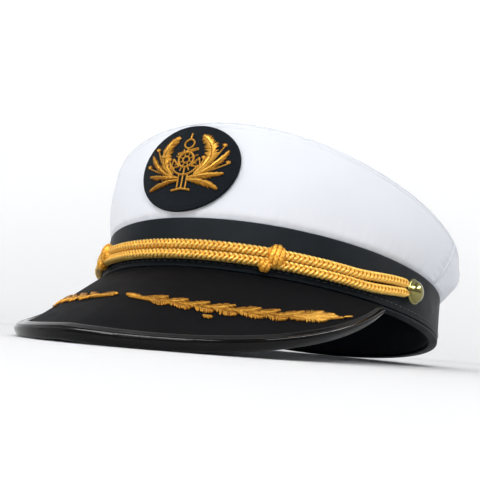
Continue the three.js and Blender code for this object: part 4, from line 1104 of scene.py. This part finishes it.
def emblem_surface():
    """Anchor, wheel and leaves in couched thread and satin on the felt."""
    rng = np.random.default_rng(EMBLEM_SEED)
    surface = Surface()
    h, w = BADGE_HEIGHT / 2, BADGE_WIDTH / 2
    floor = CLEARANCE + BADGE_THICKNESS + 0.1
    middle = BADGE_CENTRE + EMBLEM_SHIFT
    down = -math.pi / 2
    arm_foot = ARM_HEIGHT - ARM_RADIUS

    def place(x, y, out):
        return front_place(x * EMBLEM_SCALE, middle + y * EMBLEM_SCALE, floor + out)

    def thread(path, radius=0.38, closed=False):
        couch_thread(surface, place, np.asarray(path) * h, radius, 0.72, closed)

    def hoop(height, radius, size=0.38):
        thread(arc(0, height, radius, 0, TURN * 47 / 48), size, closed=True)

    # ring, shank and stock of the anchor
    ring_top = RING_HEIGHT + RING_RADIUS
    hoop(RING_HEIGHT, RING_RADIUS * 0.85)
    thread([(0, ring_top - 0.02), (0.01, ring_top + 0.14)])
    thread([(0, RING_HEIGHT - RING_RADIUS), (0, WHEEL_HEIGHT + WHEEL_RADIUS)], 0.42)
    stock = [(-STOCK_HALF, STOCK_HEIGHT - 0.06), (STOCK_HALF * 0.92, STOCK_HEIGHT + 0.05),
             (STOCK_HALF, STOCK_HEIGHT + 0.01), (-STOCK_HALF * 0.9, STOCK_HEIGHT - 0.1)]
    thread([*stock, stock[0]], 0.3)

    # wheel and its handles
    hoop(WHEEL_HEIGHT, WHEEL_RADIUS, 0.46)
    hoop(WHEEL_HEIGHT, WHEEL_HUB)
    for i in range(WHEEL_HANDLES):
        turn = (i + 0.5) * TURN / WHEEL_HANDLES
        c, s = math.cos(turn), math.sin(turn)
        thread([(reach * c, WHEEL_HEIGHT + reach * s) for reach in (WHEEL_HUB, WHEEL_REACH)], 0.26)

    # arms, flukes, posts and base
    thread(arc(0, ARM_HEIGHT, ARM_RADIUS, down - ARM_TURN, down + ARM_TURN), 0.4)
    for side in (-1, 1):
        turn = down + side * ARM_TURN
        tip = np.array([ARM_RADIUS * math.cos(turn), ARM_HEIGHT + ARM_RADIUS * math.sin(turn)])
        corners = np.array([(0.3 * side, -0.3), (-0.05 * side, 1.2), (-1.1 * side, -0.1)])
        corners = corners * FLUKE + tip
        thread(np.concatenate([corners, corners[:1]]), 0.34)
    thread([(0, WHEEL_HEIGHT - WHEEL_RADIUS), (0, arm_foot)], 0.36)
    for x in (-POST_SPREAD, 0, POST_SPREAD):
        thread([(x, arm_foot + 0.01), (x, POST_FOOT)], 0.34)
    base = [(-BASE_HALF, POST_FOOT - 0.05), (0, POST_FOOT - 0.01), (BASE_HALF, POST_FOOT - 0.05)]
    thread(base, 0.5)

    # leaves, buds and ties on both sides
    for side in (-1, 1):
        scale = np.array([side * w, h])
        # Leaves on the side of negative x are painted darker than those on the other side: painted
        # shade.
        tone = 0.68 if side > 0 else 0.52
        for number, row in enumerate(BADGE_LEAVES):
            start, bend, end = (np.array(row[i:i + 2]) * scale for i in (0, 2, 4))
            lobes = 0 if number else FIRST_LEAF_LOBES
            embroider_leaf(surface, place, start, bend, end, row[6] * w, rng, tone, 0.8, 0.5, lobes)
        for row in BADGE_BUDS:
            start, end = np.array(row[:2]) * scale, np.array(row[2:]) * scale
            bend = (start + end) / 2 + [0.5 * side, -0.2]
            couch_thread(surface, place, [start, bend, end], 0.27, 0.8)
            for twist in (-0.7, 0, 0.7):
                tip = end + np.array([math.sin(twist) * side, math.cos(twist)]) * 1.5
                embroider_leaf(surface, place, end, (end + tip) / 2, tip, 1.1, rng, 0.85,
                               relief=0.6)
        tie = np.array([(side * POST_SPREAD * h, -0.3 * h), (side * 0.16 * w, -0.26 * h),
                        (side * 0.3 * w, -0.2 * h)])
        for lift in (-0.9, -0.2, 0.5):
            couch_thread(surface, place, tie + [0, lift], 0.34, 0.7)
    return surface


def braid_surface(level, pitch, depth):
    """Braided cord: the section is two lobes that meet in a crease, and each lobe carries strands
    that lean away from the crease, so that they meet in a chevron. Ridge = root of the sine of the
    length plus the lean times the way round the lobe, over the pitch."""
    end = BUTTON_ANGLE - (BUTTON_RADIUS - 0.6) / HALF_LENGTH
    angle = np.linspace(-end, end, CORD_ROWS)
    line = cord_point(angle, level)
    run = run_along(line)[:, None]
    turn = turns(CORD_SIDES, 0.5)
    lobe = np.abs(np.sin(turn))
    around = (np.abs(((turn + math.pi / 2) % math.pi) - math.pi / 2) / (math.pi / 2))[None]
    phase = run / pitch + 0.95 * around + 0.25 * level
    ridge = np.abs(np.sin(math.pi * phase)) ** 0.75
    crease = 0.62 * bell(around, 0.16) + 0.12 * bell(around - 1, 0.15)
    strand = 0.5 + 0.5 * np.cos(TURN * 3 * phase)
    bump = -depth * (1 - ridge) - crease + 0.05 * strand
    taper = np.minimum(1, 0.55 + 0.45 * smooth(np.minimum(run, run[-1] - run) / 3.5))
    radii = np.full(len(angle), CORD_RADIUS + 0.16) * taper[:, 0]
    # Painted light: crests are painted lighter and the grooves and crease darker, a painted
    # highlight and shade, and the cord is painted a little lighter towards its top and bottom.
    tone = (0.1 + 0.85 * ridge ** 1.2 + 0.14 * lobe) * (0.84 + 0.24 * strand) - 0.5 * crease
    return Surface().add(tube(line, ring_normal(angle), radii, bump), tone=np.clip(tone, 0, 1))


def knot_bead(surface, centre, sideways, outward, sizes, wraps, lean):
    """Wrapped bead: an ellipsoid whose rows run along the cords, with one groove between wraps.
    Points that would lie in the band are brought out to it."""
    t = np.linspace(-0.485, 0.485, 84)[:, None] * math.pi
    turn = turns(56)[None]
    phase = (np.sin(t) + lean * np.sin(turn)) * wraps / 2
    ridge = np.abs(np.cos(math.pi * phase)) ** 0.5
    chevron = np.abs((phase % 1) - 0.5) * 2
    braid = np.abs(np.sin(7.5 * turn + 2.2 * chevron)) ** 0.8
    reach = np.cos(t) ** 0.7 * (1 - 0.15 * (1 - ridge) - 0.08 * (1 - braid))
    along = sideways * (sizes[0] / 2 * np.sin(t) + 0 * turn)[..., None]
    points = (centre + along + outward * (sizes[1] / 2 * reach * np.cos(turn))[..., None]
              + UP * (sizes[2] / 2 * reach * np.sin(turn))[..., None])
    # Painted shade: the grooves between wraps and strands are painted darker than the ridges.
    tone = np.clip(0.04 + 0.66 * ridge * (0.3 + 0.7 * braid), 0, 1)
    surface.add(clear_of_band(points), tone=tone)


def knot_surface(side):
    """Slide knot: a wrapped bead over both cords, and a smaller turn below it."""
    angle = np.array(side * KNOT_ANGLE)
    outward = ring_normal(angle)
    sideways = np.cross(outward, UP)
    centre = (cord_point(angle, 1) + cord_point(angle, -1)) / 2
    surface = Surface()
    for out, rise, along, sizes, wraps, lean in KNOT_BEADS:
        bead = centre + outward * out + UP * rise + sideways * along
        knot_bead(surface, bead, sideways, outward, sizes, wraps, lean)
    return surface


def button_points(side):
    """Turned profile round the button's axis: shank, seat, stepped pale rim and polished dome."""
    dome_foot, dome_radius, dome_rise = BUTTON_SEAT + 1.2, 4.98, 3.1
    profile = [(0.15, 0), (2, 0), (2, BUTTON_SEAT), (4.9, BUTTON_SEAT), (5.5, BUTTON_SEAT + 0.1),
               (5.75, BUTTON_SEAT + 0.45), (5.62, BUTTON_SEAT + 0.8), (5.3, BUTTON_SEAT + 1.0),
               (5.12, BUTTON_SEAT + 1.02), (dome_radius, dome_foot)]
    dome = [(dome_radius * math.cos(a), dome_foot + dome_rise * math.sin(a))
            for a in np.linspace(0, math.pi / 2, 22)[1:-1]]
    radius, rise = np.array(profile + dome).T
    outward = ring_normal(np.array(side * BUTTON_ANGLE))
    sideways = np.cross(outward, UP)
    base = ring_point(np.array(side * BUTTON_ANGLE), 0, BUTTON_HEIGHT) + outward * CLEARANCE
    turn = turns(BUTTON_COLUMNS)[None]
    ring = (sideways * (radius[:, None] * np.cos(turn))[..., None]
            + UP * (radius[:, None] * np.sin(turn))[..., None])
    return base + outward * rise[:, None, None] + ring


# Settings
def size_property(label, text, default, **more):
    return FloatProperty(name=label, description=text, default=default, **more)


def colour_property(label, text, default):
    return FloatVectorProperty(name=label, description=text, default=default, subtype="COLOR",
                               size=3, min=0, max=1)


class HatSizes(bpy.types.PropertyGroup):
    """Fine sizes, in millimetres, that a user may change."""
    weave: size_property("Twill pitch",
                         "Distance between the white cloth's diagonal threads, in mm", 0.6, min=0.2)
    band_wave: size_property("Band waves", "How far the band's cloth waves, in mm", 0.05, min=0)
    pleat: size_property("Pleat depth", "Depth of the pleats under the peak, in mm", 0.5, min=0)
    braid_pitch: size_property("Braid pitch", "Length of one chevron of the cords, in mm", 2.05,
                               min=0.5)
    braid_depth: size_property("Braid depth", "Depth between the cords' strands, in mm", 0.65,
                               min=0)
    stitch: size_property("Stitch length", "Length of one sewn stitch, in mm", 2.2, min=0.5)


class HatColours(bpy.types.PropertyGroup):
    """Colours of the hat's finishes."""
    white: colour_property("White cloth", "Colour of the crown", (0.78, 0.80, 0.85))
    black: colour_property("Black cloth", "Colour of the band", (0.0072, 0.0108, 0.0142))
    navy: colour_property("Navy cloth", "Colour of the sweatband", (0.006, 0.0085, 0.018))
    peak: colour_property("Peak cloth", "Colour of the peak's top", (0.0042, 0.0044, 0.0056))
    felt: colour_property("Felt", "Colour of the badge's patch", (0.004, 0.0075, 0.0115))
    gold: colour_property("Gold thread", "Colour of the lit thread", (0.68, 0.35, 0.035))
    # Deep gold is the painted shade in the grooves of the thread.
    gold_painted_shade: colour_property("Deep gold", "Colour of the thread in its grooves",
                               (0.15, 0.035, 0.001))
    patent: colour_property("Patent leather", "Colour of the peak's trim", (0.003, 0.003, 0.0035))
    brass: colour_property("Brass", "Colour of the side buttons", (0.3, 0.27, 0.1))


class HatStage(bpy.types.PropertyGroup):
    """Camera, light and floor."""
    azimuth: size_property("Azimuth", "Camera's angle round the hat from its front", 27.2 * DEGREE,
                           subtype="ANGLE")
    distance: size_property("Distance", "Level distance from the camera to the hat's middle", 0.335,
                            unit="LENGTH")
    height: size_property("Height", "Camera's height above the floor", 0.006, unit="LENGTH")
    roll: size_property("Roll", "Camera's roll", 4.9 * DEGREE, subtype="ANGLE")
    aim: FloatVectorProperty(name="Aim", description="Point that the camera looks at",
                             default=(-0.0064, -0.012, 0.057), subtype="XYZ", unit="LENGTH")
    lens: size_property("Lens", "Focal length in millimetres on a 36 mm frame", 47.5)
    light: size_property("Light", "Strength of all lamps as a share of their usual power", 1.0,
                         min=0)
    floor: colour_property("Floor", "Colour of the floor and backdrop", (0.86, 0.86, 0.87))


class HAT_OT_crown(bpy.types.Operator):
    """Makes the crown's side, back and top in white cloth, with piped side seams"""
    bl_idname = "hat.crown"
    bl_label = "Crown"

    def execute(self, context):
        gap = CLEARANCE / 2 / HALF_WIDTH
        front = np.linspace(-SEAM_ANGLE + gap, SEAM_ANGLE - gap, SIDE_COLUMNS)
        back = np.linspace(SEAM_ANGLE + gap, TURN - SEAM_ANGLE - gap, BACK_COLUMNS)
        panels = (("side", "wall", crown_panel(front)), ("back", "wall", crown_panel(back)),
                  ("top", "fan", crown_top_points()))
        for name, ends, points in panels:
            lay(points, ends, f"crown_{name}_cloth", "White Twill", "white_cloth", f"crown_{name}")
        piping = Surface()
        share = np.linspace(0.03, 0.985, PIPING_ROWS)
        radii = PIPING_RADIUS * (1 - 0.6 * smooth((share - 0.88) / 0.105))
        twist = 0.05 * np.sin(share[:, None] * 260 + turns(THREAD_SIDES))
        for _, side in SIDES:
            outward = ring_normal(side * SEAM_ANGLE)
            line = crown_point(side * SEAM_ANGLE + 0 * share, share) + outward * PIPING_OUT
            piping.add(tube(line, np.broadcast_to(outward, line.shape), radii, twist))
        piping.build("crown_seam_piping", "White Thread", "white_cloth")
        return {"FINISHED"}


class HAT_OT_band(bpy.types.Operator):
    """Makes the black band, the binding under it, and their stitches"""
    bl_idname = "hat.band"
    bl_label = "Band"

    def execute(self, context):
        sizes = context.scene.hat_sizes
        band = band_points(sizes.band_wave)
        lay(band, "ring", "hat_band_cloth", "Band Satin", "black_cloth", "hat_band")
        binding = binding_points()
        lay(binding, "ring", "rim_binding_roll", "Band Satin", "black_cloth", "rim_binding")
        sewn = Surface()
        sewn.add(dash_row(lambda t: ring_point(t, 0.02, BAND_FOOT + BAND_STITCH_RISE), ring_normal,
                          (-math.pi, math.pi), sizes.stitch))
        sewn.build("hat_band_stitches", "Dark Thread", "black_cloth")
        return {"FINISHED"}


class HAT_OT_sweatband(bpy.types.Operator):
    """Makes the navy sweatband with its back seam and its stitches"""
    bl_idname = "hat.sweatband"
    bl_label = "Sweatband"

    def execute(self, context):
        stitch = context.scene.hat_sizes.stitch
        lay(sweatband_points(), "ring", "sweatband_cloth", "Navy Cloth", "navy_cloth", "sweatband")
        inner = -SWEATBAND_INSET - SWEATBAND_WALL - 0.02
        sewn = Surface()
        sewn.add(dash_row(lambda t: ring_point(t, inner, BAND_FOOT + SWEATBAND_STITCH_RISE),
                          lambda t: -ring_normal(t), (-math.pi, math.pi), stitch))
        for side in (-1, 1):
            angle = math.pi + side * SEAM_STITCH_AWAY / HALF_LENGTH
            sewn.add(dash_row(lambda t: ring_point(0 * t + angle, inner + 0.2, t),
                              lambda t: -ring_normal(0 * t + angle),
                              (BAND_FOOT + 1, BAND_HEIGHT), stitch))
        sewn.build("sweatband_stitches", "Dark Thread", "navy_cloth")
        return {"FINISHED"}


class HAT_OT_peak(bpy.types.Operator):
    """Makes the peak's black cloth, its pleated lining and its glossy trim"""
    bl_idname = "hat.peak"
    bl_label = "Peak"

    def execute(self, context):
        pleats = lining_points(context.scene.hat_sizes.pleat)
        lay(board_points(), "wall", "peak_top_cloth", "Peak Cloth", "black_cloth", "peak_board")
        lay(pleats, "wall", "peak_underside_pleats", "Pleated Lining", "black_lining",
            "peak_lining", sharp=70)
        lay(trim_points(), "wall", "peak_trim_roll", "Patent Trim", "patent_trim", "peak_trim")
        return {"FINISHED"}


class HAT_OT_sprays(bpy.types.Operator):
    """Embroiders the two gold leaf sprays on the peak"""
    bl_idname = "hat.sprays"
    bl_label = "Leaf sprays"

    def execute(self, context):
        for name, side in SIDES:
            spray_surface(side).build(f"peak_spray_{name}_threads", "Gold Embroidery",
                                      "gold_thread", f"peak_spray_{name}")
        return {"FINISHED"}


class HAT_OT_badge(bpy.types.Operator):
    """Makes the felt patch and embroiders its anchor, wheel and leaves"""
    bl_idname = "hat.badge"
    bl_label = "Badge"

    def execute(self, context):
        lay(badge_patch_points(), "fan", "badge_felt", "Badge Felt", "felt_patch", "badge_patch")
        emblem_surface().build("badge_threads", "Gold Embroidery", "gold_thread", "badge_emblem")
        return {"FINISHED"}


class HAT_OT_cords(bpy.types.Operator):
    """Braids the two gold cords and wraps their slide knots"""
    bl_idname = "hat.cords"
    bl_label = "Cords and knots"

    def execute(self, context):
        sizes = context.scene.hat_sizes
        for name, level in (("upper", 1), ("lower", -1)):
            braid = braid_surface(level, sizes.braid_pitch, sizes.braid_depth)
            braid.build(f"cord_{name}_braid", "Gold Braid", "gold_thread", f"cord_{name}")
        for name, side in SIDES:
            knot_surface(side).build(f"cord_knot_{name}_wrap", "Gold Braid", "gold_thread",
                                     f"cord_knot_{name}")
        return {"FINISHED"}


class HAT_OT_buttons(bpy.types.Operator):
    """Turns the two brass side buttons"""
    bl_idname = "hat.buttons"
    bl_label = "Side buttons"

    def execute(self, context):
        for name, side in SIDES:
            lay(button_points(side), "fan", f"side_button_{name}_brass", "Polished Brass", "brass",
                f"side_button_{name}")
        return {"FINISHED"}


class HAT_OT_stage(bpy.types.Operator):
    """Sets the floor and backdrop, the soft lamps and the camera"""
    bl_idname = "hat.stage"
    bl_label = "Stage"

    def execute(self, context):
        stage = context.scene.hat_stage
        self.backdrop(stage)
        self.lamps(context.scene, stage)
        self.camera(context.scene, stage)
        return {"FINISHED"}

    def backdrop(self, stage):
        """Level floor that sweeps up into a wall, the same profile carried sideways."""
        bend = np.linspace(0, math.pi / 2, 24)
        sweep = [WALL_BEND + WALL_BEND * np.sin(bend), WALL_BEND - WALL_BEND * np.cos(bend)]
        profile = np.concatenate([[[-FLOOR_REACH, 0.0]], np.stack(sweep, -1),
                                  [[WALL_DISTANCE, WALL_HEIGHT]]])
        turn = -stage.azimuth
        away = np.array([math.sin(turn), math.cos(turn), 0])
        aside = np.array([math.cos(turn), -math.sin(turn), 0])
        wide = np.linspace(-FLOOR_REACH, FLOOR_REACH, 9)
        points = (profile[:, None, :1] * away + profile[:, None, 1:] * UP
                  + wide[None, :, None] * aside)
        rows, columns = points.shape[:2]
        i, j = np.meshgrid(np.arange(rows - 1), np.arange(columns - 1), indexing="ij")
        first = (i * columns + j).ravel()
        faces = np.stack([first, first + 1, first + columns + 1, first + columns], 1)
        mesh = bpy.data.meshes.new("backdrop")
        mesh.from_pydata(points.reshape(-1, 3), [], faces)
        mesh.polygons.foreach_set("use_smooth", np.ones(len(faces), bool))
        material, tree, shader, place, _ = start_material("Pale Paper")
        tint = use_group(tree, "Soft Mottle", {
            "Scale": 1.5, "Colour": (*stage.floor, 1), "Shade": (0.84, 0.84, 0.85, 1),
            "Amount": 0.2, "Vector": place})
        # The floor and wall glow more with distance, from half a metre out: painted light that
        # keeps the far backdrop pale.
        reach = node(tree, "ShaderNodeVectorMath", {0: place}, operation="LENGTH")
        distance = reach.outputs["Value"]
        feed(shader, {"Base Color": tint["Colour"], "Roughness": 0.9, "Specular IOR Level": 0.1,
                      "Emission Color": spread(tree, distance, 0.0, 0.4, (0.5, 1.9)),
                      "Emission Strength": 1.0})
        mesh.materials.append(material)
        floor = bpy.data.objects.new("backdrop", mesh)
        bpy.context.scene.collection.objects.link(floor)

    def lamps(self, scene, stage):
        """Soft lamps placed from the camera's side, all turned to the hat, and a pale world."""
        turn = stage.azimuth
        front = Vector((math.sin(turn), -math.cos(turn), 0))
        right = Vector((math.cos(turn), math.sin(turn), 0))
        for name, forward, aside, up, width, height, power in LAMPS:
            data = bpy.data.lights.new(name, "AREA")
            data.shape, data.size, data.size_y = "RECTANGLE", width, height
            data.energy = power * stage.light
            lamp = bpy.data.objects.new(name, data)
            lamp.location = front * forward + right * aside + Vector((0, 0, up))
            lamp.rotation_euler = (LAMP_TARGET - lamp.location).to_track_quat("-Z", "Y").to_euler()
            lamp.visible_diffuse = not name.startswith("gleam")
            scene.collection.objects.link(lamp)
        world = bpy.data.worlds.new("Soft Daylight")
        world.use_nodes = True
        tree = world.node_tree
        seen = tree.nodes.new("ShaderNodeLightPath").outputs["Is Camera Ray"]
        feed(tree.nodes["Background"], {"Color": (0.97, 0.985, 1.0, 1),
                                        "Strength": spread(tree, seen, 0.33 * stage.light, 0.94)})
        scene.world = world
        scene.view_settings.view_transform = "Standard"

    def camera(self, scene, stage):
        """Level camera near the floor, turned to the aim and rolled."""
        data = bpy.data.cameras.new("camera")
        data.lens, data.sensor_width = stage.lens, 36.0
        data.clip_start = 0.01
        camera = bpy.data.objects.new("camera", data)
        spot = Vector((math.sin(stage.azimuth), -math.cos(stage.azimuth), 0)) * stage.distance
        spot.z = stage.height
        ahead = (Vector(stage.aim) - spot).normalized()
        level = ahead.cross(Vector((0, 0, 1))).normalized()
        over = level.cross(ahead)
        right = level * math.cos(stage.roll) + over * math.sin(stage.roll)
        up = right.cross(ahead)
        turned = Matrix((right, up, -ahead)).transposed()
        camera.matrix_world = Matrix.Translation(spot) @ turned.to_4x4()
        scene.collection.objects.link(camera)
        scene.camera = camera


PIECE_OPERATORS = (HAT_OT_crown, HAT_OT_band, HAT_OT_sweatband, HAT_OT_peak, HAT_OT_sprays,
                   HAT_OT_badge, HAT_OT_cords, HAT_OT_buttons, HAT_OT_stage)


class HAT_PT_panel(bpy.types.Panel):
    """Lists the hat's settings and the operators that make its pieces"""
    bl_idname = "HAT_PT_panel"
    bl_label = "Captain Hat"
    bl_space_type = "VIEW_3D"
    bl_region_type = "UI"
    bl_category = "Captain Hat"

    def draw(self, context):
        for group in (context.scene.hat_sizes, context.scene.hat_colours, context.scene.hat_stage):
            box = self.layout.box()
            for key in group.__annotations__:
                box.prop(group, key)
        for operator in PIECE_OPERATORS:
            self.layout.operator(operator.bl_idname)


CLASSES = (HatSizes, HatColours, HatStage, *PIECE_OPERATORS, HAT_PT_panel)
SETTINGS = (("hat_sizes", HatSizes), ("hat_colours", HatColours), ("hat_stage", HatStage))


def register():
    for cls in CLASSES:
        bpy.utils.register_class(cls)
    for name, group in SETTINGS:
        setattr(bpy.types.Scene, name, PointerProperty(type=group))


def unregister():
    for name, _ in SETTINGS:
        delattr(bpy.types.Scene, name)
    for cls in reversed(CLASSES):
        bpy.utils.unregister_class(cls)


def main():
    register()
    for operator in PIECE_OPERATORS:
        category, name = operator.bl_idname.split(".")
        getattr(getattr(bpy.ops, category), name)()


if __name__ == "__main__":
    main()
